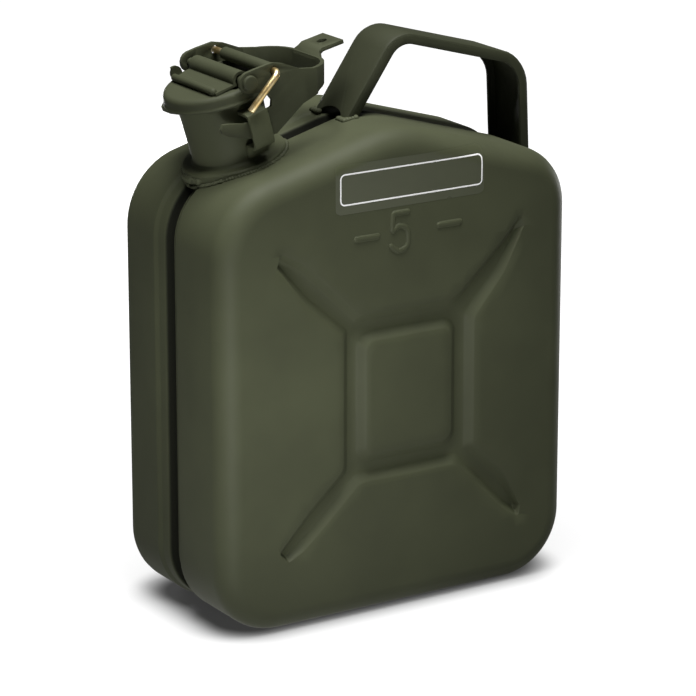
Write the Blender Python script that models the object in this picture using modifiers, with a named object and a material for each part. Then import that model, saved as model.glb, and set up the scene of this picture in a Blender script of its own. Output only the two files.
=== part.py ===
"""Five-litre pressed-steel jerrycan with a cam-lever closure.

Frame: origin at the middle of the base, +X along the width towards the handle side,
-Y towards the front face, +Z up. All lengths are in metres.
The closure is drawn in the neck's own frame: u across the neck in the XZ plane
(towards the handle), y as in the world, h along the neck's axis, all from the
point where that axis meets the shoulder.
"""
import math

import bmesh
import bpy
from mathutils import Vector

MM = 0.001

# Body: overall sizes and outline
BODY_WIDTH = 226.0 * MM
BODY_DEPTH = 110.5 * MM
PEAK_X = 1.0 * MM
PEAK_Z = 275.2 * MM
SHOULDER_SLOPE = math.radians(15.0)
HANDLE_SIDE_SLOPE = math.radians(16.1)
BOTTOM_RADIUS = 37.4 * MM
NECK_SIDE_RADIUS = 42.0 * MM
HANDLE_SIDE_RADIUS = 34.7 * MM
PEAK_RADIUS = 67.0 * MM
EDGE_RADIUS = 12.2 * MM
SHEET = 1.0 * MM
CORNER_STEPS = 8
EDGE_STEPS = 5
FIT_GAP = 0.3 * MM

# Weld seam between the two shells
SEAM_GAP = 0.3 * MM
GROOVE_DEPTH = 8.3 * MM
SEAM_FLANGE_SINK = 3.0 * MM
GROOVE_HALF_WIDTH = 7.6 * MM
GROOVE_FLOOR_HALF_WIDTH = 2.4 * MM
REAR_BAND_START = 16.6 * MM
REAR_BAND_SINK = 1.9 * MM

# Pressed panel on each broad face
PANEL_X = 3.7 * MM
PANEL_Z = 124.4 * MM
PRESS_DEPTH = 4.05 * MM
WALL_RUN = 4.6 * MM
PAD_WIDTH = 64.4 * MM
PAD_HEIGHT = 74.6 * MM
PAD_RADIUS = 9.0 * MM
FRAME_FLOOR = 5.7 * MM
FRAME_FLOOR_UP = 6.6 * MM
ARM_ROOT_SIDE = 36.0 * MM
ARM_ROOT_TOP = 26.0 * MM
ARM_REACH_X = 78.0 * MM
ARM_REACH_Z = 83.0 * MM
ARM_TIP_WIDTH = 8.0 * MM
ARM_MIDDLE_WIDTH = 15.0 * MM
PANEL_CORNER_RADIUS = 9.0 * MM

# Neck
NECK_FROM_SIDE = 41.5 * MM
NECK_X = NECK_FROM_SIDE - BODY_WIDTH / 2.0
NECK_TILT = SHOULDER_SLOPE
NECK_BOTTOM_RADIUS = 22.0 * MM
NECK_TOP_RADIUS = 23.2 * MM
NECK_WALL = 1.4 * MM
NECK_HEIGHT = 39.4 * MM
NECK_LIP = 1.2 * MM
COLLAR_RADIUS = 29.0 * MM
COLLAR_HEIGHT = 3.0 * MM
COLLAR_FILLET = 1.6 * MM
MOUTH_STEPS = 40

# Breather tube inside the neck
BREATHER_RADIUS = 3.6 * MM
BREATHER_WALL = 0.7 * MM
BREATHER_TOP = 34.0 * MM
BREATHER_LENGTH = 62.0 * MM

# Cap, gasket and hinge strap
CAP_RADIUS = 29.6 * MM
CAP_SHEET = 1.2 * MM
CAP_SKIRT_H = 38.5 * MM
CAP_RIM_H = 46.0 * MM
CAP_RIM_RADIUS = 26.8 * MM
CAP_DISH_RADIUS = 24.6 * MM
GASKET_THICK = 1.7 * MM
GASKET_WIDTH = 5.0 * MM
PLATE_THICK = 1.4 * MM
DISH_DEPTH = 3.1 * MM
HINGE_U = 3.5 * MM
HINGE_H = 49.0 * MM
HINGE_PIN_RADIUS = 2.3 * MM
HINGE_HEAD_RADIUS = 4.3 * MM
HINGE_HEAD_THICK = 2.0 * MM
RUNNING_GAP = 0.3 * MM
BARREL_RADIUS = 4.9 * MM
STRAP_SHEET = 1.5 * MM
BARREL_HALF_LENGTH = 23.6 * MM
LIP_REACH_U = -14.6 * MM
FOOT_REACH_U = 21.0 * MM
EAR_RADIUS = 4.4 * MM

# Cam lever: a U bent from one sheet, noses at the open ends
LEVER_SHEET = 2.2 * MM
LEVER_INNER_HALF_WIDTH = 30.0 * MM
LEVER_END_U = 58.6 * MM
LEVER_END_RADIUS = 20.0 * MM
LEVER_BOSS_RADIUS = 5.8 * MM
LEVER_END_LOW_H = 28.2 * MM
LEVER_END_HIGH_H = 38.6 * MM
LEVER_END_LEAN = math.radians(15.0)
NOSE_GAP = 2.6 * MM
NOSE_TIP_U = -19.4 * MM
NOSE_HEIGHT = 5.5 * MM
BELLY_GAP = 2.4 * MM
BELLY_U = 12.5 * MM
BELLY_LENGTH = 8.5 * MM
THROAT_DEPTH = 5.2 * MM
TAB_DROP = 8.4 * MM
TAB_WIDTH = 21.0 * MM
TAB_BASE_WIDTH = 30.0 * MM
TAB_FOLD_U = 61.3 * MM
TAB_FOLD_H = 41.0 * MM
TAB_END_U = 76.0 * MM
TAB_HOLE_RADIUS = 2.9 * MM

# Locking wire with its spacer tube
WIRE_RADIUS = 1.9 * MM
WIRE_U = 19.5 * MM
WIRE_H = 49.9 * MM
WIRE_HOLE_GAP = 0.4 * MM
WIRE_BEND_RADIUS = 3.6 * MM
WIRE_TIP_U = -2.2 * MM
WIRE_TIP_H = 35.8 * MM
WIRE_PAST_ARM = 2.2 * MM
WIRE_LEG_GAP = 0.5 * MM
SPACER_RADIUS = 3.6 * MM
SPACER_LENGTH = 48.7 * MM

# Bracket straps on the neck, one each side
STRAP_U = 2.9 * MM
BRACKET_WIDTH = 12.2 * MM
BRACKET_SHEET = 1.9 * MM
BRACKET_TOP_H = 33.3 * MM
BRACKET_BOTTOM_H = 12.0 * MM
BRACKET_FOOT_H = 6.2 * MM
BRACKET_CLEARANCE = 0.6 * MM
BRACKET_BEND = 2.6 * MM

# Carrying handle: one bent channel
HANDLE_HALF_WIDTH = 16.6 * MM
HANDLE_SHEET = 1.8 * MM
HANDLE_FLANGE = 6.2 * MM
HANDLE_BEND = 2.4 * MM
HANDLE_TOP_RADIUS = 18.0 * MM
HANDLE_ELBOW_RADIUS = 23.0 * MM
HANDLE_FOOT_LEFT_X = PEAK_X - 20.5 * MM
HANDLE_FOOT_SINK = 15.6 * MM
HANDLE_TOP_X = PEAK_X + 20.5 * MM
HANDLE_RISE = 43.4 * MM
HANDLE_BAR_SLOPE = math.radians(15.6)
HANDLE_ELBOW_IN = 3.4 * MM
HANDLE_FOOT_IN = 0.2 * MM

# Motion of the closure
CAP_PIVOT_U = 19.5 * MM
CAP_PIVOT_H = 5.0 * MM

OLIVE = (0.083, 0.086, 0.055)
DARK_OLIVE = (0.066, 0.068, 0.044)
BRASS = (0.80, 0.52, 0.17)
RUBBER = (0.02, 0.02, 0.02)
ZINC = (0.45, 0.46, 0.44)


def clear_scene():
    """Remove every object that the file starts with."""
    for old in list(bpy.data.objects):
        bpy.data.objects.remove(old, do_unlink=True)


clear_scene()

PARTS = bpy.data.collections.new("jerrycan")
CUTTERS = bpy.data.collections.new("jerrycan_cutters")
bpy.context.scene.collection.children.link(PARTS)
bpy.context.scene.collection.children.link(CUTTERS)


def make_material(name, colour, roughness, metallic):
    """A plain Principled material for one finish."""
    material = bpy.data.materials.new(name)
    material.use_nodes = True
    shader = material.node_tree.nodes["Principled BSDF"]
    shader.inputs["Base Color"].default_value = (*colour, 1.0)
    shader.inputs["Roughness"].default_value = roughness
    shader.inputs["Metallic"].default_value = metallic
    return material


def make_object(name, mesh, parent=None, offset=(0.0, 0.0, 0.0), cutter=False):
    """Link a mesh as an object, hung from a parent empty where one is given."""
    piece = bpy.data.objects.new(name, mesh)
    (CUTTERS if cutter else PARTS).objects.link(piece)
    piece.parent = parent
    piece.location = offset
    if cutter:
        piece.hide_render = True
        piece.display_type = "WIRE"
    return piece


def finish(piece, material):
    """Give a piece its material and smooth its round faces."""
    piece.data.materials.append(material)
    if piece.type == "MESH":
        piece.data.shade_smooth()
        piece.data.set_sharp_from_angle(angle=math.radians(35.0))
    return piece


def mesh_from_bmesh(name, shape):
    """Store a bmesh with its faces turned outwards."""
    bmesh.ops.recalc_face_normals(shape, faces=shape.faces)
    mesh = bpy.data.meshes.new(name)
    shape.to_mesh(mesh)
    shape.free()
    return mesh


def cut(piece, cutter, operation="DIFFERENCE"):
    """Join, trim or pierce a piece with a cutter."""
    boolean = piece.modifiers.new(f"{operation.lower()}_{cutter.name}", "BOOLEAN")
    boolean.operation = operation
    boolean.solver = "EXACT"
    boolean.object = cutter


def round_corners(corners, radii, steps):
    """A closed outline through corners, each replaced by an arc of its own radius."""
    outline = []
    count = len(corners)
    for index in range(count):
        before = Vector(corners[index - 1])
        corner = Vector(corners[index])
        after = Vector(corners[(index + 1) % count])
        radius = radii[index]
        if radius <= 0.0:
            outline.append(tuple(corner))
            continue
        to_before = (before - corner).normalized()
        to_after = (after - corner).normalized()
        half = to_before.angle(to_after) / 2.0
        centre = corner + (to_before + to_after).normalized() * (radius / math.sin(half))
        start = corner + to_before * (radius / math.tan(half)) - centre
        end = corner + to_after * (radius / math.tan(half)) - centre
        sweep = math.atan2(start.x * end.y - start.y * end.x, start.dot(end))
        for step in range(steps + 1):
            turn = sweep * step / steps
            outline.append(
                (
                    centre.x + start.x * math.cos(turn) - start.y * math.sin(turn),
                    centre.y + start.x * math.sin(turn) + start.y * math.cos(turn),
                )
            )
    return outline


def shift_edges(corners, inset):
    """Move every edge of a convex anticlockwise outline inwards."""
    count = len(corners)
    lines = []
    for index in range(count):
        start = Vector(corners[index])
        along = (Vector(corners[(index + 1) % count]) - start).normalized()
        inward = Vector((-along.y, along.x))
        lines.append((start + inward * inset, along))
    shifted = []
    for index in range(count):
        point, along = lines[index - 1]
        other, direction = lines[index]
        gap = other - point
        cross = along.x * direction.y - along.y * direction.x
        reach = (gap.x * direction.y - gap.y * direction.x) / cross
        shifted.append(tuple(point + along * reach))
    return shifted


def turned(name, profile, steps, parent=None, offset=(0.0, 0.0, 0.0), cutter=False):
    """A profile of (radius, height) points turned about the local Z axis.

    The points run down the outer side. A profile that starts on the axis also ends on it.
    """
    shape = bmesh.new()
    verts = [shape.verts.new((radius, 0.0, height)) for radius, height in profile]
    for upper, lower in zip(verts, verts[1:]):
        shape.edges.new((upper, lower))
    if profile[0][0] > 0.0:
        shape.edges.new((verts[-1], verts[0]))
    mesh = bpy.data.meshes.new(name)
    shape.to_mesh(mesh)
    shape.free()
    piece = make_object(name, mesh, parent, offset, cutter)
    screw = piece.modifiers.new("turn", "SCREW")
    screw.steps = steps
    screw.render_steps = steps
    screw.use_merge_vertices = True
    screw.merge_threshold = 0.00001
    return piece


def outline_solid(name, loops, half_width, parent=None, offset=(0.0, 0.0, 0.0), cutter=False):
    """A plate whose outline and holes lie in the XZ plane, as a closed mesh."""
    curve = bpy.data.curves.new(name + "_outline", "CURVE")
    curve.dimensions = "2D"
    curve.fill_mode = "BOTH"
    curve.extrude = half_width
    for loop in loops:
        spline = curve.splines.new("POLY")
        spline.points.add(len(loop) - 1)
        for point, (across, up) in zip(spline.points, loop):
            point.co = (across, up, 0.0, 1.0)
        spline.use_cyclic_u = True
    drawing = bpy.data.objects.new(name + "_outline", curve)
    CUTTERS.objects.link(drawing)
    bpy.context.view_layer.update()
    depsgraph = bpy.context.evaluated_depsgraph_get()
    flat = bpy.data.meshes.new_from_object(drawing.evaluated_get(depsgraph))
    bpy.data.objects.remove(drawing, do_unlink=True)
    shape = bmesh.new()
    shape.from_mesh(flat)
    bpy.data.meshes.remove(flat)
    bmesh.ops.remove_doubles(shape, verts=shape.verts, dist=0.000005)
    for vert in shape.verts:
        vert.co = (vert.co.x, -vert.co.z, vert.co.y)
    return make_object(name, mesh_from_bmesh(name, shape), parent, offset, cutter)


def sheet_strip(name, path, width, thickness, along, parent=None, offset=(0.0, 0.0, 0.0)):
    """A strip of sheet: a path of points pushed sideways and given a wall."""
    shape = bmesh.new()
    verts = [shape.verts.new(point) for point in path]
    edges = [shape.edges.new((verts[i], verts[i + 1])) for i in range(len(verts) - 1)]
    side = Vector(along).normalized() * width
    grown = bmesh.ops.extrude_edge_only(shape, edges=edges)
    moved = [item for item in grown["geom"] if isinstance(item, bmesh.types.BMVert)]
    bmesh.ops.translate(shape, verts=moved, vec=side)
    bmesh.ops.translate(shape, verts=shape.verts, vec=side * -0.5)
    mesh = mesh_from_bmesh(name, shape)
    piece = make_object(name, mesh, parent, offset)
    wall = piece.modifiers.new("wall", "SOLIDIFY")
    wall.thickness = thickness
    wall.offset = 0.0
    wall.use_even_offset = True
    return piece


def rod(name, centre, along, radius, length, steps, parent=None, offset=(0, 0, 0), cutter=False):
    """A cylinder from a primitive, centred on a point and pointing along an axis."""
    shape = bmesh.new()
    bmesh.ops.create_cone(
        shape, cap_ends=True, segments=steps, radius1=radius, radius2=radius, depth=length
    )
    turn = Vector((0.0, 0.0, 1.0)).rotation_difference(Vector(along))
    bmesh.ops.rotate(shape, verts=shape.verts, cent=(0, 0, 0), matrix=turn.to_matrix())
    bmesh.ops.translate(shape, verts=shape.verts, vec=centre)
    return make_object(name, mesh_from_bmesh(name, shape), parent, offset, cutter)


# Body outline
def body_corners():
    """The body's outline as straight edges, anticlockwise from the bottom left."""
    half = BODY_WIDTH / 2.0
    left_z = PEAK_Z - (PEAK_X + half) * math.tan(SHOULDER_SLOPE)
    right_z = PEAK_Z - (half - PEAK_X) * math.tan(HANDLE_SIDE_SLOPE)
    return [(-half, 0.0), (half, 0.0), (half, right_z), (PEAK_X, PEAK_Z), (-half, left_z)]


BODY_RADII = [BOTTOM_RADIUS, BOTTOM_RADIUS, HANDLE_SIDE_RADIUS, PEAK_RADIUS, NECK_SIDE_RADIUS]


def body_outline(inset):
    """The body's rounded outline, moved inwards by an inset."""
    radii = [radius - inset for radius in BODY_RADII]
    return round_corners(shift_edges(body_corners(), inset), radii, CORNER_STEPS)


def seam_section(band_start, band_sink):
    """Inset and distance from the seam plane, from the weld flange out to the broad face."""
    flange_face = SEAM_GAP / 2.0 + SHEET
    flat = BODY_DEPTH / 2.0 - EDGE_RADIUS
    lip = GROOVE_HALF_WIDTH
    floor = GROOVE_FLOOR_HALF_WIDTH
    section = [
        (SEAM_FLANGE_SINK, flange_face),
        (GROOVE_DEPTH - 0.9 * MM, flange_face),
        (GROOVE_DEPTH - 0.2 * MM, flange_face + 0.4 * MM),
        (GROOVE_DEPTH, floor),
        (GROOVE_DEPTH - 1.1 * MM, floor + 1.2 * MM),
        (band_sink + 2.6 * MM, lip - 2.2 * MM),
        (band_sink + 1.0 * MM, lip - 1.1 * MM),
        (band_sink + 0.2 * MM, lip + 0.3 * MM),
    ]
    if band_sink > 0.0:
        section.append((band_sink * 0.25, band_start - 1.2 * MM))
    section.append((0.0, band_start + 1.8 * MM))
    for step in range(EDGE_STEPS + 1):
        turn = math.radians(90.0) * step / EDGE_STEPS
        inset = EDGE_RADIUS * (1.0 - math.cos(turn))
        section.append((inset, flat + EDGE_RADIUS * math.sin(turn)))
    return section


def cross_loop(half_x, half_z, root_side, root_top, middle, tip, reach, radius):
    """Outline of the pressed cross: a frame with four tapering arms."""
    spread = Vector((ARM_REACH_X, ARM_REACH_Z)).normalized()
    across = Vector((spread.y, -spread.x))
    end = Vector((ARM_REACH_X, ARM_REACH_Z)) * reach
    waist = Vector((half_x, half_z)).lerp(end, 0.36)
    quarter = [
        (Vector((half_x, root_side)), radius),
        (waist + across * middle * 0.5, 0.0),
        (end + across * tip / 2.0, 0.0),
        (end - across * tip / 2.0, 0.0),
        (waist - across * middle * 0.5, 0.0),
        (Vector((root_top, half_z)), radius),
    ]
    corners = []
    radii = []
    for sign_x, sign_z in ((1, 1), (-1, 1), (-1, -1), (1, -1)):
        ordered = quarter if sign_x * sign_z > 0 else list(reversed(quarter))
        for point, corner_radius in ordered:
            corners.append((point.x * sign_x, point.y * sign_z))
            radii.append(corner_radius)
    loop = round_corners(corners, radii, 4)
    return [(PANEL_X + across_x, PANEL_Z + up) for across_x, up in loop]


def pad_loop(shrink):
    """Outline of the raised centre pad, shrunk on every side."""
    half_x = PAD_WIDTH / 2.0 - shrink
    half_z = PAD_HEIGHT / 2.0 - shrink
    corners = [(half_x, -half_z), (half_x, half_z), (-half_x, half_z), (-half_x, -half_z)]
    loop = round_corners(corners, [PAD_RADIUS - shrink * 0.6] * 4, 5)
    return [(PANEL_X + across, PANEL_Z + up) for across, up in loop]


def make_shell(name, side, section, material):
    """One half of the body: rolled edge, seam groove, weld flange and pressed panel."""
    shape = bmesh.new()

    def add_loop(outline, depth):
        verts = [shape.verts.new((across, side * depth, up)) for across, up in outline]
        edges = [shape.edges.new((verts[i - 1], verts[i])) for i in range(len(verts))]
        return edges

    rings = [add_loop(body_outline(inset), depth) for inset, depth in section]
    for inner, outer in zip(rings, rings[1:]):
        bmesh.ops.bridge_loops(shape, edges=inner + outer)

    face = BODY_DEPTH / 2.0
    floor = face - PRESS_DEPTH
    frame_x = PAD_WIDTH / 2.0 + FRAME_FLOOR
    frame_z = PAD_HEIGHT / 2.0 + FRAME_FLOOR_UP
    star_top = add_loop(
        cross_loop(
            frame_x + WALL_RUN, frame_z + WALL_RUN, ARM_ROOT_SIDE, ARM_ROOT_TOP,
            ARM_MIDDLE_WIDTH, ARM_TIP_WIDTH, 1.0, PANEL_CORNER_RADIUS,
        ),
        face,
    )
    star_floor = add_loop(
        cross_loop(
            frame_x, frame_z, ARM_ROOT_SIDE + WALL_RUN / 2.0, ARM_ROOT_TOP + WALL_RUN / 2.0,
            ARM_MIDDLE_WIDTH * 0.42, ARM_TIP_WIDTH * 0.3, 0.955, PANEL_CORNER_RADIUS * 0.45,
        ),
        floor,
    )
    pad_foot = add_loop(pad_loop(0.0), floor)
    pad_top = add_loop(pad_loop(WALL_RUN), face)
    bmesh.ops.triangle_fill(shape, edges=rings[-1] + star_top, use_beauty=True)
    bmesh.ops.bridge_loops(shape, edges=star_top + star_floor)
    bmesh.ops.triangle_fill(shape, edges=star_floor + pad_foot, use_beauty=True)
    bmesh.ops.bridge_loops(shape, edges=pad_foot + pad_top)
    bmesh.ops.triangle_fill(shape, edges=pad_top, use_beauty=True)
    bmesh.ops.recalc_face_normals(shape, faces=shape.faces)
    centre = min(
        shape.faces,
        key=lambda facet: (facet.calc_center_median() - Vector((PANEL_X, side * face, PANEL_Z))).length,
    )
    if centre.normal.y * side < 0.0:
        bmesh.ops.reverse_faces(shape, faces=shape.faces)
    mesh = bpy.data.meshes.new(name)
    shape.to_mesh(mesh)
    shape.free()
    shell = make_object(name, mesh)
    wall = shell.modifiers.new("sheet", "SOLIDIFY")
    wall.thickness = SHEET
    wall.offset = -1.0
    wall.use_even_offset = False
    return finish(shell, material)


def empty(name, location, parent=None, tilt=0.0):
    """A reference point that other pieces hang from."""
    point = bpy.data.objects.new(name, None)
    PARTS.objects.link(point)
    point.parent = parent
    point.location = location
    point.rotation_euler = (0.0, -tilt, 0.0)
    return point


def neck_radius(height):
    """Outer radius of the tapered neck at a height above the shoulder."""
    share = height / NECK_HEIGHT
    return NECK_BOTTOM_RADIUS + (NECK_TOP_RADIUS - NECK_BOTTOM_RADIUS) * share


def make_neck(frame, body_blank, material):
    """Turned neck with a rolled mouth and a collar trimmed to the shoulder."""
    foot = -14.0 * MM
    inner = NECK_BOTTOM_RADIUS - NECK_WALL
    top = NECK_HEIGHT
    lip = NECK_TOP_RADIUS + NECK_LIP
    profile = [
        (lip, top - 1.0 * MM),
        (lip, top - 2.0 * MM),
        (NECK_TOP_RADIUS, top - 3.4 * MM),
        (neck_radius(COLLAR_HEIGHT + COLLAR_FILLET), COLLAR_HEIGHT + COLLAR_FILLET),
        (NECK_BOTTOM_RADIUS + COLLAR_FILLET, COLLAR_HEIGHT),
        (COLLAR_RADIUS - 0.9 * MM, COLLAR_HEIGHT - 0.3 * MM),
        (COLLAR_RADIUS, COLLAR_HEIGHT - 1.2 * MM),
        (COLLAR_RADIUS, foot),
        (inner, foot),
        (inner, COLLAR_HEIGHT),
        (NECK_TOP_RADIUS - NECK_WALL, top - 3.0 * MM),
        (NECK_TOP_RADIUS - NECK_WALL * 0.6, top - 0.5 * MM),
        (NECK_TOP_RADIUS, top),
        (lip - 0.6 * MM, top),
    ]
    neck = turned("neck", profile, MOUTH_STEPS, frame)
    cut(neck, body_blank)
    return finish(neck, material)


def make_breather(frame, material):
    """Thin tube that lets air in while the can pours, on the handle side of the bore."""
    bore = NECK_BOTTOM_RADIUS - NECK_WALL
    across = bore - BREATHER_RADIUS - FIT_GAP
    profile = [
        (BREATHER_RADIUS, BREATHER_TOP),
        (BREATHER_RADIUS, BREATHER_TOP - BREATHER_LENGTH),
        (BREATHER_RADIUS - BREATHER_WALL, BREATHER_TOP - BREATHER_LENGTH),
        (BREATHER_RADIUS - BREATHER_WALL, BREATHER_TOP),
    ]
    tube = turned("breather_tube", profile, 14, frame, (across, 0.0, 0.0))
    return finish(tube, material)


def make_bracket(name, side, frame, material):
    """Hat-shaped strap welded to the neck, which the lever's nose hooks under."""
    outer = LEVER_INNER_HALF_WIDTH + LEVER_SHEET + BRACKET_CLEARANCE + BRACKET_SHEET / 2.0
    half = BRACKET_SHEET / 2.0
    wall_top = neck_radius(BRACKET_TOP_H) + FIT_GAP
    wall_foot = neck_radius(BRACKET_BOTTOM_H) + FIT_GAP + half
    path = [
        (side * wall_top, BRACKET_TOP_H - half),
        (side * (outer - BRACKET_BEND), BRACKET_TOP_H - half),
        (side * (outer - BRACKET_BEND * 0.3), BRACKET_TOP_H - half - BRACKET_BEND * 0.3),
        (side * outer, BRACKET_TOP_H - half - BRACKET_BEND),
        (side * outer, BRACKET_BOTTOM_H + half + BRACKET_BEND),
        (side * (outer - BRACKET_BEND * 0.3), BRACKET_BOTTOM_H + half + BRACKET_BEND * 0.3),
        (side * (outer - BRACKET_BEND), BRACKET_BOTTOM_H + half),
        (side * (wall_foot + 1.2 * MM), BRACKET_BOTTOM_H + half),
        (side * wall_foot, BRACKET_BOTTOM_H + half - 1.2 * MM),
        (side * wall_foot, BRACKET_FOOT_H),
    ]
    points = [(STRAP_U, across, up) for across, up in path]
    bracket = sheet_strip(name, points, BRACKET_WIDTH, BRACKET_SHEET, (1, 0, 0), frame)
    blank = turned(
        name + "_neck_clearance",
        [
            (0.0, NECK_HEIGHT),
            (neck_radius(NECK_HEIGHT) + FIT_GAP, NECK_HEIGHT),
            (neck_radius(0.0) + FIT_GAP, 0.0),
            (0.0, 0.0),
        ],
        MOUTH_STEPS, frame, cutter=True,
    )
    cut(bracket, blank)
    return finish(bracket, material)


def hung(axis_u, axis_h):
    """Offset that keeps a piece drawn in the neck's frame when an axis empty carries it."""
    return (-axis_u, 0.0, -axis_h)


def make_cap(axis, offset, material):
    """Pressed cap: dished floor, raised rim and tapering skirt."""
    floor_top = CAP_RIM_H - DISH_DEPTH
    profile = [
        (0.0, floor_top),
        (CAP_DISH_RADIUS - 0.6 * MM, floor_top),
        (CAP_DISH_RADIUS - 0.3 * MM, CAP_RIM_H - 0.7 * MM),
        (CAP_DISH_RADIUS + 0.4 * MM, CAP_RIM_H),
        (CAP_RIM_RADIUS, CAP_RIM_H),
        (CAP_RIM_RADIUS + 1.1 * MM, CAP_RIM_H - 0.5 * MM),
        (CAP_RIM_RADIUS + 1.9 * MM, CAP_RIM_H - 1.5 * MM),
        (CAP_RIM_RADIUS + 2.3 * MM, CAP_RIM_H - 3.0 * MM),
        (CAP_RADIUS, CAP_SKIRT_H),
        (CAP_RADIUS - CAP_SHEET, CAP_SKIRT_H),
        (CAP_RIM_RADIUS + 1.0 * MM, CAP_RIM_H - 3.0 * MM),
        (CAP_RIM_RADIUS + 0.3 * MM, CAP_RIM_H - 1.6 * MM),
        (CAP_DISH_RADIUS + 1.0 * MM, CAP_RIM_H - 1.6 * MM),
        (CAP_DISH_RADIUS + 0.8 * MM, floor_top - CAP_SHEET),
        (0.0, floor_top - CAP_SHEET),
    ]
    return finish(turned("cap", profile, MOUTH_STEPS, axis, offset), material)


def make_gasket(axis, offset, material):
    """Flat rubber ring that closes on the neck's mouth."""
    top = CAP_RIM_H - DISH_DEPTH - CAP_SHEET - FIT_GAP
    outer = NECK_TOP_RADIUS + 0.6 * MM
    profile = [
        (outer, top),
        (outer, top - GASKET_THICK),
        (outer - GASKET_WIDTH, top - GASKET_THICK),
        (outer - GASKET_WIDTH, top),
    ]
    return finish(turned("cap_gasket", profile, MOUTH_STEPS, axis, offset), material)


def make_gasket_plate(axis, offset, material):
    """Pressed disc that holds the gasket from inside."""
    top = CAP_RIM_H - DISH_DEPTH - CAP_SHEET - FIT_GAP
    radius = NECK_TOP_RADIUS + 0.6 * MM - GASKET_WIDTH - FIT_GAP
    profile = [
        (0.0, top),
        (radius, top),
        (radius, top - PLATE_THICK * 0.6),
        (radius - PLATE_THICK * 1.5, top - PLATE_THICK),
        (0.0, top - PLATE_THICK),
    ]
    return finish(turned("gasket_plate", profile, MOUTH_STEPS, axis, offset), material)


def make_hinge_strap(axis, offset, material):
    """Strap on the cap: foot plate, rolled barrel for the hinge pin, and front lip."""
    floor_top = CAP_RIM_H - DISH_DEPTH
    middle = BARREL_RADIUS - STRAP_SHEET / 2.0
    foot_h = floor_top + FIT_GAP + STRAP_SHEET / 2.0
    lip_h = CAP_RIM_H + FIT_GAP + STRAP_SHEET / 2.0
    path = [(FOOT_REACH_U, 0.0, foot_h), (HINGE_U + STRAP_SHEET * 1.3, 0.0, foot_h)]
    start = math.radians(-62.0)
    sweep = math.radians(262.0)
    steps = 12
    for step in range(steps + 1):
        turn = start + sweep * step / steps
        path.append((HINGE_U + middle * math.cos(turn), 0.0, HINGE_H + middle * math.sin(turn)))
    path.append((HINGE_U - BARREL_RADIUS - STRAP_SHEET * 1.7, 0.0, lip_h + FIT_GAP))
    path.append((LIP_REACH_U, 0.0, lip_h))
    strap = sheet_strip(
        "hinge_strap", path, 2.0 * BARREL_HALF_LENGTH, STRAP_SHEET, (0, 1, 0), axis, offset
    )
    clear_radius = CAP_DISH_RADIUS - 0.6 * MM - FIT_GAP
    rim_clearance = turned(
        "rim_clearance",
        [
            (CAP_RADIUS + 8.0 * MM, CAP_RIM_H + FIT_GAP * 0.9),
            (CAP_RADIUS + 8.0 * MM, floor_top),
            (clear_radius, floor_top),
            (clear_radius, CAP_RIM_H + FIT_GAP * 0.9),
        ],
        MOUTH_STEPS, axis, offset, cutter=True,
    )
    ear = rod(
        "hinge_strap_ear",
        (LIP_REACH_U + EAR_RADIUS * 0.8, BARREL_HALF_LENGTH - STRAP_SHEET * 0.6, lip_h + EAR_RADIUS / 2.0),
        (0, 1, 0), EAR_RADIUS, STRAP_SHEET, 16, axis, offset, cutter=True,
    )
    cut(strap, ear, "UNION")
    cut(strap, rim_clearance)
    return finish(strap, material)


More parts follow.
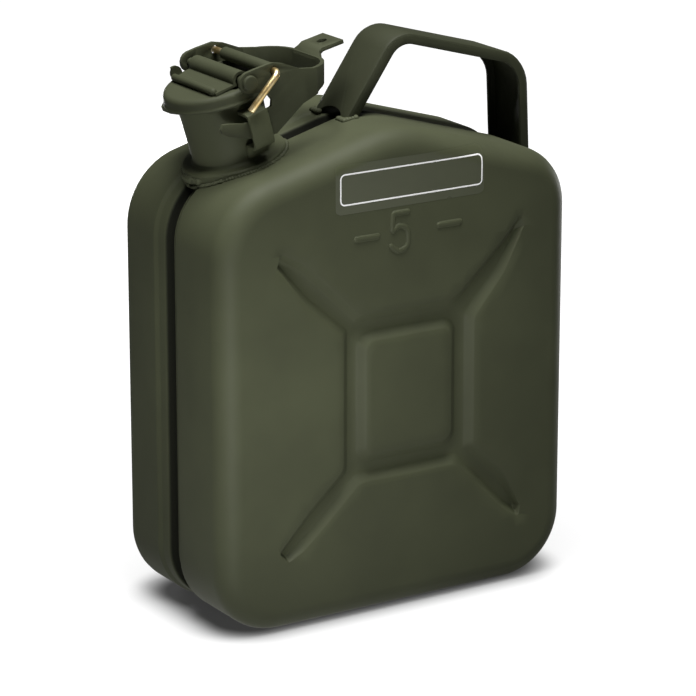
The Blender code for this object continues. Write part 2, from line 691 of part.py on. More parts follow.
def lever_side_outline():
    """Side view of the lever: boss, throat, nose, belly, thumb end and back edge."""
    shelf_edge = STRAP_U + BRACKET_WIDTH / 2.0
    nose_h = BRACKET_TOP_H - BRACKET_SHEET - NOSE_GAP
    belly_h = BRACKET_BOTTOM_H + BRACKET_SHEET + BELLY_GAP
    back_h = HINGE_H + LEVER_BOSS_RADIUS
    boss = [
        (
            HINGE_U + LEVER_BOSS_RADIUS * math.cos(math.radians(turn)),
            HINGE_H + LEVER_BOSS_RADIUS * math.sin(math.radians(turn)),
        )
        for turn in range(95, 271, 22)
    ]
    throat = [
        (shelf_edge, BRACKET_TOP_H + THROAT_DEPTH * 1.55),
        (shelf_edge + THROAT_DEPTH * 0.7, BRACKET_TOP_H + THROAT_DEPTH),
        (shelf_edge + THROAT_DEPTH, BRACKET_TOP_H + THROAT_DEPTH * 0.32),
        (shelf_edge + THROAT_DEPTH * 0.8, nose_h + THROAT_DEPTH * 0.6),
        (shelf_edge, nose_h + THROAT_DEPTH * 0.16),
    ]
    nose = [
        (STRAP_U, nose_h),
        (NOSE_TIP_U + NOSE_HEIGHT * 2.6, nose_h),
        (NOSE_TIP_U + NOSE_HEIGHT, nose_h + NOSE_HEIGHT * 0.62),
        (NOSE_TIP_U + NOSE_HEIGHT * 0.35, nose_h + NOSE_HEIGHT * 0.78),
        (NOSE_TIP_U, nose_h + NOSE_HEIGHT * 0.42),
        (NOSE_TIP_U + NOSE_HEIGHT * 0.07, nose_h - NOSE_HEIGHT * 0.06),
        (NOSE_TIP_U + NOSE_HEIGHT * 0.62, nose_h - NOSE_HEIGHT * 0.53),
        (NOSE_TIP_U + NOSE_HEIGHT * 2.65, nose_h - NOSE_HEIGHT * 1.6),
    ]
    belly = [
        (BELLY_U - BELLY_LENGTH, belly_h + BELLY_GAP * 0.3),
        (BELLY_U, belly_h),
        (BELLY_U + BELLY_LENGTH * 1.15, belly_h + (LEVER_END_LOW_H - belly_h) * 0.4),
        (BELLY_U + BELLY_LENGTH * 2.3, belly_h + (LEVER_END_LOW_H - belly_h) * 0.8),
        (BELLY_U + BELLY_LENGTH * 4.0, LEVER_END_LOW_H),
    ]
    past_end = LEVER_END_U + LEVER_END_RADIUS / 2.0
    end = [(past_end, LEVER_END_LOW_H), (past_end, LEVER_END_HIGH_H)]
    drop = back_h - LEVER_END_HIGH_H
    back = [
        (LEVER_END_U, LEVER_END_HIGH_H),
        (WIRE_U + BELLY_LENGTH * 2.9, LEVER_END_HIGH_H + drop * 0.18),
        (WIRE_U + BELLY_LENGTH * 1.82, LEVER_END_HIGH_H + drop * 0.385),
        (WIRE_U + BELLY_LENGTH * 0.76, LEVER_END_HIGH_H + drop * 0.785),
        (WIRE_U, LEVER_END_HIGH_H + drop * 0.97),
        (HINGE_U + LEVER_BOSS_RADIUS, back_h),
    ]
    return boss + throat + nose + belly + end + back


def make_lever(axis, offset, material):
    """Cam lever: a sheet bent to a U in plan, trimmed to its side outline, with a thumb tab."""
    middle = LEVER_INNER_HALF_WIDTH + LEVER_SHEET / 2.0
    end_centre = LEVER_END_U - LEVER_SHEET / 2.0 - LEVER_END_RADIUS
    centre_h = (HINGE_H + BRACKET_BOTTOM_H) / 2.0
    path = [(NOSE_TIP_U - LEVER_SHEET, -middle, centre_h)]
    steps = 7
    for step in range(steps + 1):
        turn = math.radians(90.0) * step / steps
        path.append(
            (
                end_centre + LEVER_END_RADIUS * math.sin(turn),
                -middle + LEVER_END_RADIUS * (1.0 - math.cos(turn)),
                centre_h,
            )
        )
    path += [(across, -side, up) for across, side, up in reversed(path)]
    height = (HINGE_H - BRACKET_BOTTOM_H) * 1.6
    lever = sheet_strip("lever", path, height, LEVER_SHEET, (0, 0, 1), axis, offset)
    lean = math.tan(LEVER_END_LEAN)
    for vert in lever.data.vertices:
        if vert.co.x > end_centre + LEVER_SHEET:
            vert.co.x += (vert.co.z - LEVER_END_HIGH_H) * lean
    hinge_hole = [
        (
            HINGE_U + (HINGE_PIN_RADIUS + RUNNING_GAP) * math.cos(turn),
            HINGE_H + (HINGE_PIN_RADIUS + RUNNING_GAP) * math.sin(turn),
        )
        for turn in (math.tau * step / 20 for step in range(20))
    ]
    wire_hole = [
        (
            WIRE_U + (WIRE_RADIUS + WIRE_HOLE_GAP) * math.cos(turn),
            WIRE_H + (WIRE_RADIUS + WIRE_HOLE_GAP) * math.sin(turn),
        )
        for turn in (math.tau * step / 16 for step in range(16))
    ]
    side_view = outline_solid(
        "lever_side_view", [lever_side_outline(), hinge_hole, wire_hole],
        LEVER_INNER_HALF_WIDTH + LEVER_SHEET * 2.0, axis, offset, cutter=True,
    )
    cut(lever, side_view, "INTERSECT")
    wall_u = LEVER_END_U - LEVER_SHEET / 2.0
    riser = [(wall_u + (up - LEVER_END_HIGH_H) * lean, 0.0, up)
             for up in (TAB_FOLD_H - TAB_DROP, TAB_FOLD_H - TAB_DROP * 0.5)]
    tab_path = riser + [
        (TAB_FOLD_U - LEVER_SHEET * 0.45, 0.0, TAB_FOLD_H - TAB_DROP * 0.14),
        (TAB_FOLD_U + LEVER_SHEET * 0.45, 0.0, TAB_FOLD_H - TAB_DROP * 0.03),
        (TAB_END_U, 0.0, TAB_FOLD_H - TAB_DROP * 0.09),
    ]
    tab = sheet_strip("lever_tab", tab_path, TAB_WIDTH, LEVER_SHEET, (0, 1, 0), axis, offset)
    for vert in tab.data.vertices:
        if vert.co.z < TAB_FOLD_H - TAB_DROP * 0.4:
            vert.co.y *= TAB_BASE_WIDTH / TAB_WIDTH
    PARTS.objects.unlink(tab)
    CUTTERS.objects.link(tab)
    tab.hide_render = True
    tab.display_type = "WIRE"
    cut(lever, tab, "UNION")
    tab_hole = rod(
        "tab_hole", ((TAB_FOLD_U + TAB_END_U) / 2.0, 0.0, TAB_FOLD_H), (0, 0, 1),
        TAB_HOLE_RADIUS, LEVER_SHEET * 5.0, 18, axis, offset, cutter=True,
    )
    cut(lever, tab_hole)
    return finish(lever, material)


def make_hinge_pin(axis, offset, material):
    """Headed pin through both lever arms and the strap's barrel."""
    outer = LEVER_INNER_HALF_WIDTH + LEVER_SHEET + RUNNING_GAP
    head = outer + HINGE_HEAD_THICK
    profile = [
        (0.0, head),
        (HINGE_HEAD_RADIUS - 0.6 * MM, head),
        (HINGE_HEAD_RADIUS, head - 0.6 * MM),
        (HINGE_HEAD_RADIUS, outer),
        (HINGE_PIN_RADIUS, outer),
        (HINGE_PIN_RADIUS, -outer),
        (HINGE_HEAD_RADIUS, -outer),
        (HINGE_HEAD_RADIUS, -head + 0.6 * MM),
        (HINGE_HEAD_RADIUS - 0.6 * MM, -head),
        (0.0, -head),
    ]
    pin = turned("hinge_pin", profile, 18, axis, offset)
    pin.rotation_euler = (math.radians(-90.0), 0.0, 0.0)
    pin.location = Vector(offset) + Vector((HINGE_U, 0.0, HINGE_H))
    return finish(pin, material)


def make_spacer(axis, offset, material):
    """Tube between the lever arms that the locking wire runs through."""
    near = -LEVER_INNER_HALF_WIDTH + FIT_GAP
    bore = WIRE_RADIUS + WIRE_HOLE_GAP
    profile = [
        (SPACER_RADIUS, -near),
        (SPACER_RADIUS, -near - SPACER_LENGTH),
        (bore, -near - SPACER_LENGTH),
        (bore, -near),
    ]
    tube = turned("spacer_tube", profile, 18, axis, offset)
    tube.rotation_euler = (math.radians(90.0), 0.0, 0.0)
    tube.location = Vector(offset) + Vector((WIRE_U, 0.0, WIRE_H))
    return finish(tube, material)


def make_locking_pin(axis, offset, material):
    """Bent brass wire: straight through both arms, then a leg down over the bracket."""
    outer = LEVER_INNER_HALF_WIDTH + LEVER_SHEET + BRACKET_CLEARANCE + BRACKET_SHEET
    leg_y = -(outer + WIRE_LEG_GAP + WIRE_RADIUS)
    far_y = LEVER_INNER_HALF_WIDTH + LEVER_SHEET + WIRE_PAST_ARM
    down = Vector((WIRE_TIP_U - WIRE_U, 0.0, WIRE_TIP_H - WIRE_H)).normalized()
    start = Vector((WIRE_U, far_y, WIRE_H))
    knee = Vector((WIRE_U, leg_y + WIRE_BEND_RADIUS, WIRE_H))
    points = [start, knee]
    steps = 6
    for step in range(1, steps + 1):
        turn = math.radians(90.0) * step / steps
        sideways = Vector((0.0, -WIRE_BEND_RADIUS * math.sin(turn), 0.0))
        points.append(knee + sideways + down * WIRE_BEND_RADIUS * (1.0 - math.cos(turn)))
    points.append(Vector((WIRE_TIP_U, leg_y, WIRE_TIP_H)))
    curve = bpy.data.curves.new("locking_pin", "CURVE")
    curve.dimensions = "3D"
    curve.bevel_depth = WIRE_RADIUS
    curve.bevel_resolution = 3
    curve.use_fill_caps = True
    spline = curve.splines.new("POLY")
    spline.points.add(len(points) - 1)
    for point, place in zip(spline.points, points):
        point.co = (*place, 1.0)
    pin = bpy.data.objects.new("locking_pin", curve)
    PARTS.objects.link(pin)
    pin.parent = axis
    pin.location = offset
    return finish(pin, material)


def handle_path(inset):
    """Outer line of the handle in the XZ plane, moved towards the window."""
    left_foot = Vector((HANDLE_FOOT_LEFT_X, PEAK_Z - HANDLE_FOOT_SINK))
    top = Vector((HANDLE_TOP_X, PEAK_Z + HANDLE_RISE))
    elbow_x = BODY_WIDTH / 2.0 - HANDLE_ELBOW_IN
    elbow = Vector((elbow_x, top.y - (elbow_x - top.x) * math.tan(HANDLE_BAR_SLOPE)))
    shoulder_z = PEAK_Z - (BODY_WIDTH / 2.0 - PEAK_X) * math.tan(HANDLE_SIDE_SLOPE)
    right_foot = Vector((BODY_WIDTH / 2.0 - HANDLE_FOOT_IN, shoulder_z - HANDLE_FOOT_SINK * 1.25))
    corners = [right_foot, elbow, top, left_foot]
    moved = shift_edges([tuple(point) for point in corners], inset)
    radii = [0.0, HANDLE_ELBOW_RADIUS - inset, HANDLE_TOP_RADIUS - inset, 0.0]
    rounded = round_corners(moved, radii, 7)
    first_edge = (elbow - right_foot).normalized()
    last_edge = (left_foot - top).normalized()
    start = right_foot + Vector((-first_edge.y, first_edge.x)) * inset
    end = left_foot + Vector((-last_edge.y, last_edge.x)) * inset
    return [tuple(start)] + rounded[1:-1] + [tuple(end)]


def make_handle(body_blank, material):
    """Channel-section handle bent from one strip, open towards the window."""
    web = HANDLE_HALF_WIDTH - HANDLE_BEND
    bend_in = HANDLE_BEND * 0.3
    section = [
        (HANDLE_HALF_WIDTH, HANDLE_FLANGE),
        (HANDLE_HALF_WIDTH, HANDLE_BEND),
        (HANDLE_HALF_WIDTH - bend_in, bend_in),
        (web, 0.0),
    ]
    section += [(-across, inset) for across, inset in reversed(section)]
    lines = [[(across, spot) for spot in handle_path(inset)] for across, inset in section]
    shape = bmesh.new()
    rings = []
    for station in zip(*lines):
        verts = [shape.verts.new((spot[0], across, spot[1])) for across, spot in station]
        rings.append([shape.edges.new(pair) for pair in zip(verts, verts[1:])])
    for ring, following in zip(rings, rings[1:]):
        bmesh.ops.bridge_loops(shape, edges=ring + following)
    handle = make_object("handle", mesh_from_bmesh("handle", shape))
    wall = handle.modifiers.new("sheet", "SOLIDIFY")
    wall.thickness = HANDLE_SHEET
    wall.offset = -1.0
    wall.use_even_offset = True
    cut(handle, body_blank)
    return finish(handle, material)


def build():
    """Make every piece of the jerrycan."""
    paint = make_material("olive_paint", OLIVE, 0.42, 0.0)
    dark_paint = make_material("dark_olive_paint", DARK_OLIVE, 0.5, 0.0)
    brass = make_material("brass", BRASS, 0.25, 1.0)
    rubber = make_material("rubber", RUBBER, 0.8, 0.0)
    zinc = make_material("zinc", ZINC, 0.4, 1.0)

    shoulder_z = PEAK_Z - (PEAK_X - NECK_X) * math.tan(SHOULDER_SLOPE)
    frame = empty("neck_frame", (NECK_X, 0.0, shoulder_z), None, NECK_TILT)
    cap_axis = empty("cap_axis", (CAP_PIVOT_U, 0.0, CAP_PIVOT_H), frame)
    lever_axis = empty("lever_axis", (HINGE_U, 0.0, HINGE_H), frame)
    on_cap = hung(CAP_PIVOT_U, CAP_PIVOT_H)
    on_lever = hung(HINGE_U, HINGE_H)

    body_blank = outline_solid(
        "body_blank", [body_outline(-FIT_GAP)], BODY_DEPTH / 2.0 + 2.0 * MM, cutter=True
    )
    mouth = rod(
        "mouth_cutter", (0, 0, 0), (0, 0, 1), NECK_BOTTOM_RADIUS - NECK_WALL - 0.2 * MM,
        40.0 * MM, MOUTH_STEPS, frame, cutter=True,
    )
    front_section = seam_section(GROOVE_HALF_WIDTH, 0.0)
    rear_section = seam_section(REAR_BAND_START, REAR_BAND_SINK)
    for name, side, section in (("front_shell", -1, front_section), ("rear_shell", 1, rear_section)):
        shell = make_shell(name, side, section, paint)
        cut(shell, mouth)

    make_neck(frame, body_blank, paint)
    make_breather(frame, zinc)
    make_bracket("front_bracket", -1, frame, paint)
    make_bracket("rear_bracket", 1, frame, paint)
    make_handle(body_blank, paint)
    make_cap(cap_axis, on_cap, paint)
    make_gasket(cap_axis, on_cap, rubber)
    make_gasket_plate(cap_axis, on_cap, zinc)
    make_hinge_strap(cap_axis, on_cap, paint)
    make_lever(lever_axis, on_lever, paint)
    make_hinge_pin(lever_axis, on_lever, dark_paint)
    make_spacer(lever_axis, on_lever, paint)
    make_locking_pin(lever_axis, on_lever, brass)


build()
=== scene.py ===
# %% [markdown]
# A pressed-steel jerrycan, dressed for its portrait
#
# The engineering model of the can arrives as a fixed frame: plain solids, each riding on the
# body that moves it. This lesson gives that frame the look of the real thing. The two pressed
# halves are drawn again with soft press radii, the closure gets its small sheet-metal edges,
# the welds are laid bead by bead, and the olive powder coat, the plated wire and the rubber
# get procedural materials.

import math

import bmesh
import bpy
from mathutils import Matrix, Vector
from mathutils.geometry import delaunay_2d_cdt


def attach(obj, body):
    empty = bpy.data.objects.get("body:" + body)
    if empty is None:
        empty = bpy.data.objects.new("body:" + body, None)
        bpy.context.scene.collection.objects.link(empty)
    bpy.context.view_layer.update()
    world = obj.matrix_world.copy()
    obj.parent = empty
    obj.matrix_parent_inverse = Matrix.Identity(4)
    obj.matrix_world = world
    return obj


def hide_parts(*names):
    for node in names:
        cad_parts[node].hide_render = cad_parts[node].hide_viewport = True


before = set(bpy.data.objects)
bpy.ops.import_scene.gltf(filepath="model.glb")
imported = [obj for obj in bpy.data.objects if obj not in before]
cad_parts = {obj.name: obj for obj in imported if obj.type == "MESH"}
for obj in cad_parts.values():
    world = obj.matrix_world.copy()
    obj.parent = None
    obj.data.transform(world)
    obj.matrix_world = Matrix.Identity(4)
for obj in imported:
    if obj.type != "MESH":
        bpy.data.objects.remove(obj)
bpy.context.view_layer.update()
MM = 0.001
print("nodes:", sorted(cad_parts))

# %% [markdown]
# The camera
#
# A long lens from about two metres keeps the can's edges nearly parallel. The camera is placed
# by its direction from a point on the can's middle line, so its three axes are worked out
# first and then written as a rotation matrix.

# %% Place the camera
VIEW_TURN = math.radians(32.191)
VIEW_LIFT = math.radians(17.012)
VIEW_DISTANCE = 1.9777
VIEW_TARGET = Vector((0.0, 0.0, 0.12906))
VIEW_ASIDE = (-0.000839, -0.007098)
FOCAL_LENGTH = 182.41
SENSOR_WIDTH = 36.0

right = Vector((math.cos(VIEW_TURN), -math.sin(VIEW_TURN), 0.0))
level = math.cos(VIEW_LIFT)
back = Vector((-math.sin(VIEW_TURN) * level, -math.cos(VIEW_TURN) * level, math.sin(VIEW_LIFT)))
above = back.cross(right)
place = VIEW_TARGET - right * VIEW_ASIDE[0] - above * VIEW_ASIDE[1] + back * VIEW_DISTANCE

lens = bpy.data.cameras.new("portrait_camera")
lens.lens = FOCAL_LENGTH
lens.sensor_width = SENSOR_WIDTH
lens.clip_end = 20.0
camera = bpy.data.objects.new("portrait_camera", lens)
bpy.context.scene.collection.objects.link(camera)
turn = Matrix((right, above, back)).transposed().to_4x4()
camera.matrix_world = Matrix.Translation(place) @ turn
bpy.context.scene.camera = camera
print("camera at", [round(value, 3) for value in place])

# %% [markdown]
# Shader maths as Python
#
# A wear mask or a grain height is a sum or a product of a few noises. Written with node links
# that takes a dozen lines, so one small class wraps a socket and turns + - * ** into Math
# nodes. Every other node comes from a single method of the finish it belongs to.

# %% A socket that understands arithmetic


class Flow:
    """A number on its way through a node tree."""

    def __init__(self, tree, socket):
        self.tree = tree
        self.socket = socket

    def maths(self, operation, first, second=None):
        node = self.tree.nodes.new("ShaderNodeMath")
        node.operation = operation
        for slot, value in zip(node.inputs, (first, second)):
            if isinstance(value, Flow):
                self.tree.links.new(value.socket, slot)
            elif value is not None:
                slot.default_value = value
        return Flow(self.tree, node.outputs[0])

    def __add__(self, other):
        return self.maths("ADD", self, other)

    def __radd__(self, other):
        return self.maths("ADD", other, self)

    def __sub__(self, other):
        return self.maths("SUBTRACT", self, other)

    def __rsub__(self, other):
        return self.maths("SUBTRACT", other, self)

    def __mul__(self, other):
        return self.maths("MULTIPLY", self, other)

    def __rmul__(self, other):
        return self.maths("MULTIPLY", other, self)

    def __pow__(self, other):
        return self.maths("POWER", self, other)

    def __abs__(self):
        return self.maths("ABSOLUTE", self)

    def between(self, low, high):
        """0 below low, 1 above high and a soft step in between."""
        node = self.tree.nodes.new("ShaderNodeMapRange")
        node.interpolation_type = "SMOOTHSTEP"
        self.tree.links.new(self.socket, node.inputs["Value"])
        node.inputs["From Min"].default_value = low
        node.inputs["From Max"].default_value = high
        return Flow(self.tree, node.outputs["Result"])


print("shader maths ready")

# %% One material and the nodes that feed it


class Finish:
    """One material: its Principled shader and the nodes that feed it."""

    def __init__(self, name, roughness=0.5, metallic=0.0, specular=0.5):
        self.material = bpy.data.materials.new(name)
        self.material.use_nodes = True
        self.tree = self.material.node_tree
        self.shader = self.tree.nodes["Principled BSDF"]
        plain = {"Roughness": roughness, "Metallic": metallic, "Specular IOR Level": specular}
        for key, value in plain.items():
            self.shader.inputs[key].default_value = value
        self.place = self.node("ShaderNodeTexCoord").outputs["Object"]

    def node(self, kind, settings=None, values=None):
        """Add a node: its settings first, then values or links for its sockets."""
        made = self.tree.nodes.new(kind)
        for key, value in (settings or {}).items():
            setattr(made, key, value)
        for key, value in (values or {}).items():
            if isinstance(value, Flow):
                self.tree.links.new(value.socket, made.inputs[key])
            elif isinstance(value, bpy.types.NodeSocket):
                self.tree.links.new(value, made.inputs[key])
            else:
                made.inputs[key].default_value = value
        return made

    def axis(self, name):
        """One object coordinate, as a number."""
        made = self.node("ShaderNodeSeparateXYZ", None, {"Vector": self.place})
        return Flow(self.tree, made.outputs[name])

    def clouds(self, scale, detail=2.0, rough=0.5, stretch=None):
        """Noise in object space, from 0 to 1; a small stretch draws it out along that axis."""
        source = self.place
        if stretch is not None:
            values = {"Vector": self.place, "Scale": stretch}
            source = self.node("ShaderNodeMapping", None, values).outputs["Vector"]
        values = {"Vector": source, "Scale": scale, "Detail": detail, "Roughness": rough}
        made = self.node("ShaderNodeTexNoise", None, values)
        return Flow(self.tree, made.outputs["Fac"])

    def cells(self, scale):
        """Distance to the nearest of many scattered points."""
        made = self.node("ShaderNodeTexVoronoi", None, {"Vector": self.place, "Scale": scale})
        return Flow(self.tree, made.outputs["Distance"])

    def edges(self):
        """How sharp the surface is here: over 0.5 on outer edges."""
        return Flow(self.tree, self.node("ShaderNodeNewGeometry").outputs["Pointiness"])

    def blend(self, share, first, second):
        """Mix two colours by a share."""
        made = self.node("ShaderNodeMix", {"data_type": "RGBA"})
        self.tree.links.new(share.socket, made.inputs["Factor"])
        for key, value in ((6, first), (7, second)):
            if isinstance(value, tuple):
                made.inputs[key].default_value = (*value, 1.0)
            else:
                self.tree.links.new(value, made.inputs[key])
        return made.outputs[2]

    def feed(self, socket, value):
        """Link a value or colour to the shader."""
        source = value.socket if isinstance(value, Flow) else value
        self.tree.links.new(source, self.shader.inputs[socket])

    def relief(self, height, distance):
        """Turn a height into a bumped normal."""
        values = {"Height": height, "Distance": distance, "Strength": 1.0}
        self.feed("Normal", self.node("ShaderNodeBump", None, values).outputs["Normal"])


print("finish helpers ready")

# %% [markdown]
# Olive powder coat
#
# Powder coat is melted on, so its surface has a very fine orange peel and its colour is even,
# with only slow changes where the film is thinner. The sheet under it is never quite flat: a
# slow, shallow wave bends the reflections. Edges carry a thinner film and look a touch paler.
# Deep in the seam's groove the body's coat is painted darker, as painted shade, and is duller.
# The parts are lit and shaded copies of one olive, with painted light and shade: the neck is
# painted paler than the body, cap and lever are painted deeper and the handle deepest.

# %% The powder coat
COAT_ROUGHNESS = 0.6
# Painted shade in the seam's groove: where it starts and ends away from the seam, and how dark it
# is.
GROOVE_LIP = (0.0010, 0.0014)
GROOVE_END = (0.0060, 0.0078)
GROOVE_PAINTED_SHADE = 0.12


def powder_coat(name, tone, wave=1.0, seam=False):
    finish = Finish(name, roughness=COAT_ROUGHNESS, specular=0.18)

    def tinted(share, more=0.0):
        return tuple(channel * share + more for channel in tone)

    patch = finish.clouds(14.0, 3.0, 0.55).between(0.30, 0.72)
    colour = finish.blend(patch, tinted(0.86), tinted(1.08))
    edge = (finish.edges() + (finish.clouds(260.0, 2.0) - 0.5) * 0.05).between(0.535, 0.62)
    colour = finish.blend(edge * 0.65, colour, tinted(1.30, 0.004))
    peel = finish.clouds(1500.0, 1.5, 0.5)
    speck = finish.cells(900.0)
    rub = finish.clouds(60.0, 4.0, 0.6, (1.0, 1.0, 0.35))
    gloss = COAT_ROUGHNESS - 0.05 + rub * 0.09 + speck * 0.02
    # Painted shade: the body's coat is darkened deep in the seam's groove and made rougher there.
    if seam:
        aside = abs(finish.axis("Y"))
        groove = aside.between(*GROOVE_LIP) * (1.0 - aside.between(*GROOVE_END))
        colour = finish.blend(groove, colour, tinted(GROOVE_PAINTED_SHADE))
        gloss = gloss + groove * 0.35
    finish.feed("Base Color", colour)
    finish.feed("Roughness", gloss)
    height = peel * 0.5 + speck * 0.35 + finish.clouds(22.0, 1.0, 0.4) * 9.0 * wave
    finish.relief(height, 0.00005)
    return finish.material


OLIVE = (0.0560, 0.0620, 0.0335)


def olive(share):
    """The olive of the can, made deeper or paler."""
    return tuple(channel * share for channel in OLIVE)


coat = powder_coat("olive powder coat", OLIVE, seam=True)
# Painted light and shade: the neck's coat, also used on the brackets, is painted paler, and the
# coats of cap, lever and handle darker, for how light falls on them.
coat_neck_painted_light = powder_coat("olive powder coat on the neck", olive(1.2), wave=0.15)
coat_cap_painted_shade = powder_coat("olive coat on cap and lever", olive(0.72), wave=0.15)
coat_grip_painted_shade = powder_coat("darker coat on the handle", olive(0.56), wave=0.15)
coat_weld = powder_coat("olive powder coat over welds", olive(0.96), wave=0.3)
print("coats:", coat.name, coat_neck_painted_light.name, coat_cap_painted_shade.name, coat_grip_painted_shade.name, coat_weld.name)

# %% [markdown]
# Plated wire, zinc and rubber
#
# The locking wire is yellow-passivated steel: bright, warm, with fine drawing lines along it.
# The inner tube and plate are plain zinc with cloudy spangle, and the gasket is matt rubber.

# %% Metal and rubber finishes


def yellow_plating():
    finish = Finish("yellow plated wire", roughness=0.2, metallic=1.0)
    drawn = finish.clouds(700.0, 3.0, 0.6, (1.0, 0.04, 1.0))
    cloud = finish.clouds(190.0, 3.0, 0.6)
    colour = finish.blend(cloud.between(0.35, 0.7), (0.83, 0.60, 0.26), (1.0, 0.86, 0.52))
    finish.feed("Base Color", colour)
    finish.feed("Roughness", 0.24 + cloud * 0.16 + drawn * 0.10)
    finish.relief(drawn * 0.6 + finish.clouds(420.0, 2.0) * 0.4, 0.00008)
    return finish.material


def zinc_plating():
    finish = Finish("zinc plating", roughness=0.4, metallic=1.0)
    spangle = finish.cells(240.0)
    cloud = finish.clouds(90.0, 3.0)
    colour = finish.blend(spangle.between(0.2, 0.8), (0.36, 0.37, 0.36), (0.55, 0.56, 0.54))
    finish.feed("Base Color", colour)
    finish.feed("Roughness", 0.3 + cloud * 0.2)
    finish.relief(spangle * 0.5 + cloud * 0.5, 0.00003)
    return finish.material


def matt_rubber():
    finish = Finish("matt black rubber", roughness=0.75, specular=0.3)
    bloom = finish.clouds(120.0, 4.0, 0.6)
    finish.feed("Base Color", finish.blend(bloom, (0.013, 0.013, 0.013), (0.032, 0.031, 0.030)))
    finish.feed("Roughness", 0.68 + bloom * 0.2)
    finish.relief(finish.clouds(1100.0, 2.0), 0.00004)
    return finish.material


plating = yellow_plating()
zinc = zinc_plating()
rubber = matt_rubber()
print("finishes:", plating.name, zinc.name, rubber.name)

# %% [markdown]
# Small tools for meshes
#
# Every finished piece must be a plain mesh whose object sits at the origin. To settle a piece,
# it is evaluated with all its modifiers, and only the resulting mesh is kept.

# %% Mesh helpers


def link(name, data):
    piece = bpy.data.objects.new(name, data)
    bpy.context.scene.collection.objects.link(piece)
    return piece


def from_bmesh(name, shape):
    mesh = bpy.data.meshes.new(name)
    shape.to_mesh(mesh)
    shape.free()
    return link(name, mesh)


def baked_mesh(piece):
    """The piece's mesh with all its modifiers worked in; the piece itself goes."""
    bpy.context.view_layer.update()
    graph = bpy.context.evaluated_depsgraph_get()
    mesh = bpy.data.meshes.new_from_object(piece.evaluated_get(graph))
    mesh.transform(piece.matrix_world)
    bpy.data.objects.remove(piece, do_unlink=True)
    return mesh


def settle(piece, material, angle):
    """A plain mesh piece with one finish; edges over the angle stay sharp."""
    name = piece.name
    mesh = baked_mesh(piece)
    mesh.materials.clear()
    mesh.materials.append(material)
    mesh.shade_smooth()
    mesh.set_sharp_from_angle(angle=math.radians(angle))
    print(f"{name}: {len(mesh.polygons)} faces")
    return link(name, mesh)


def join_rows(shape, rows, closed=False):
    """Faces between neighbouring rows of points, and from the last row to the first."""
    for first, second in zip(rows, rows[1:] + (rows[:1] if closed else [])):
        for index in range(len(first) - 1):
            shape.faces.new((first[index], first[index + 1], second[index + 1], second[index]))


def join_loops(shape, loops):
    """Faces between neighbouring closed loops of points."""
    for first, second in zip(loops, loops[1:]):
        for index in range(len(first)):
            shape.faces.new((first[index - 1], first[index], second[index], second[index - 1]))


print("mesh helpers ready")

# %% [markdown]
# The outline of the body
#
# Seen from the front the can is a five-sided figure with generous corners: two at the base,
# two at the shoulders and one flat peak. The shoulders slope at about fifteen degrees. Moving
# each straight edge inwards and shrinking each radius by the same amount gives every other
# ring of the pressing, so the whole shell is a stack of such rings.

# %% Rounded corners


def fillet(before, corner, after, radius, steps):
    """Points of the arc that rounds one corner."""
    corner = Vector(corner)
    to_before = (Vector(before) - corner).normalized()
    to_after = (Vector(after) - corner).normalized()
    if radius <= 0.0:
        return [corner]
    half = to_before.angle(to_after) / 2.0
    centre = corner + (to_before + to_after).normalized() * (radius / math.sin(half))
    reach = radius / math.tan(half)
    start = corner + to_before * reach - centre
    end = corner + to_after * reach - centre
    sweep = math.atan2(start.x * end.y - start.y * end.x, start.dot(end))
    arc = []
    for step in range(steps + 1):
        angle = sweep * step / steps
        across = centre.x + start.x * math.cos(angle) - start.y * math.sin(angle)
        up = centre.y + start.x * math.sin(angle) + start.y * math.cos(angle)
        arc.append(Vector((across, up)))
    return arc


def rounded_loop(corners, radii, steps):
    points = []
    for index, corner in enumerate(corners):
        after = corners[(index + 1) % len(corners)]
        points += fillet(corners[index - 1], corner, after, radii[index], steps)
    return points


def rounded_path(corners, radii, steps):
    points = [Vector(corners[0])]
    for index in range(1, len(corners) - 1):
        before, corner, after = corners[index - 1 : index + 2]
        points += fillet(before, corner, after, radii[index], steps)
    return points + [Vector(corners[-1])]


print("corner helpers ready")

# %% The rings of the body
BODY_WIDTH = 226.0 * MM
BODY_DEPTH = 110.5 * MM
PEAK_X = 1.0 * MM
PEAK_Z = 275.2 * MM
SHOULDER_SLOPE = math.radians(15.0)
HANDLE_SIDE_SLOPE = math.radians(16.1)
OUTLINE_RADII = [37.4 * MM, 37.4 * MM, 34.7 * MM, 67.0 * MM, 42.0 * MM]
OUTLINE_STEPS = 16


def body_ring(inset):
    """The outline moved inwards, as flat points (x, z)."""
    half = BODY_WIDTH / 2.0
    left_z = PEAK_Z - (PEAK_X + half) * math.tan(SHOULDER_SLOPE)
    right_z = PEAK_Z - (half - PEAK_X) * math.tan(HANDLE_SIDE_SLOPE)
    corners = [(-half, 0.0), (half, 0.0), (half, right_z), (PEAK_X, PEAK_Z), (-half, left_z)]
    lines = []
    for index, corner in enumerate(corners):
        start = Vector(corner)
        along = (Vector(corners[(index + 1) % 5]) - start).normalized()
        lines.append((start + Vector((-along.y, along.x)) * inset, along))
    moved = []
    for index in range(5):
        point, along = lines[index - 1]
        other, direction = lines[index]
        gap = other - point
        cross = along.x * direction.y - along.y * direction.x
        moved.append(point + along * ((gap.x * direction.y - gap.y * direction.x) / cross))
    return rounded_loop(moved, [radius - inset for radius in OUTLINE_RADII], OUTLINE_STEPS)


OUTLINE = body_ring(0.0)
print("outline points:", len(OUTLINE))

# %% [markdown]
# The pressed cross
#
# Both broad faces carry the stiffening that makes this can what it is: a raised pad in a
# sunken frame, with four tapering channels running towards the corners. No two of the arms are
# quite alike, so each has its own six corners, once at face level and once on the floor.
# Between these outlines the wall is a set of loops whose depth falls nearly evenly, eased at
# both ends, so that the light rolls over the radii.

# %% Loops of the pressed cross
PANEL_CENTRE = Vector((5.6 * MM, 125.2 * MM))
PRESS_DEPTH = 4.05 * MM
WALL_STEPS = 10
WALL_LEAD = 0.03
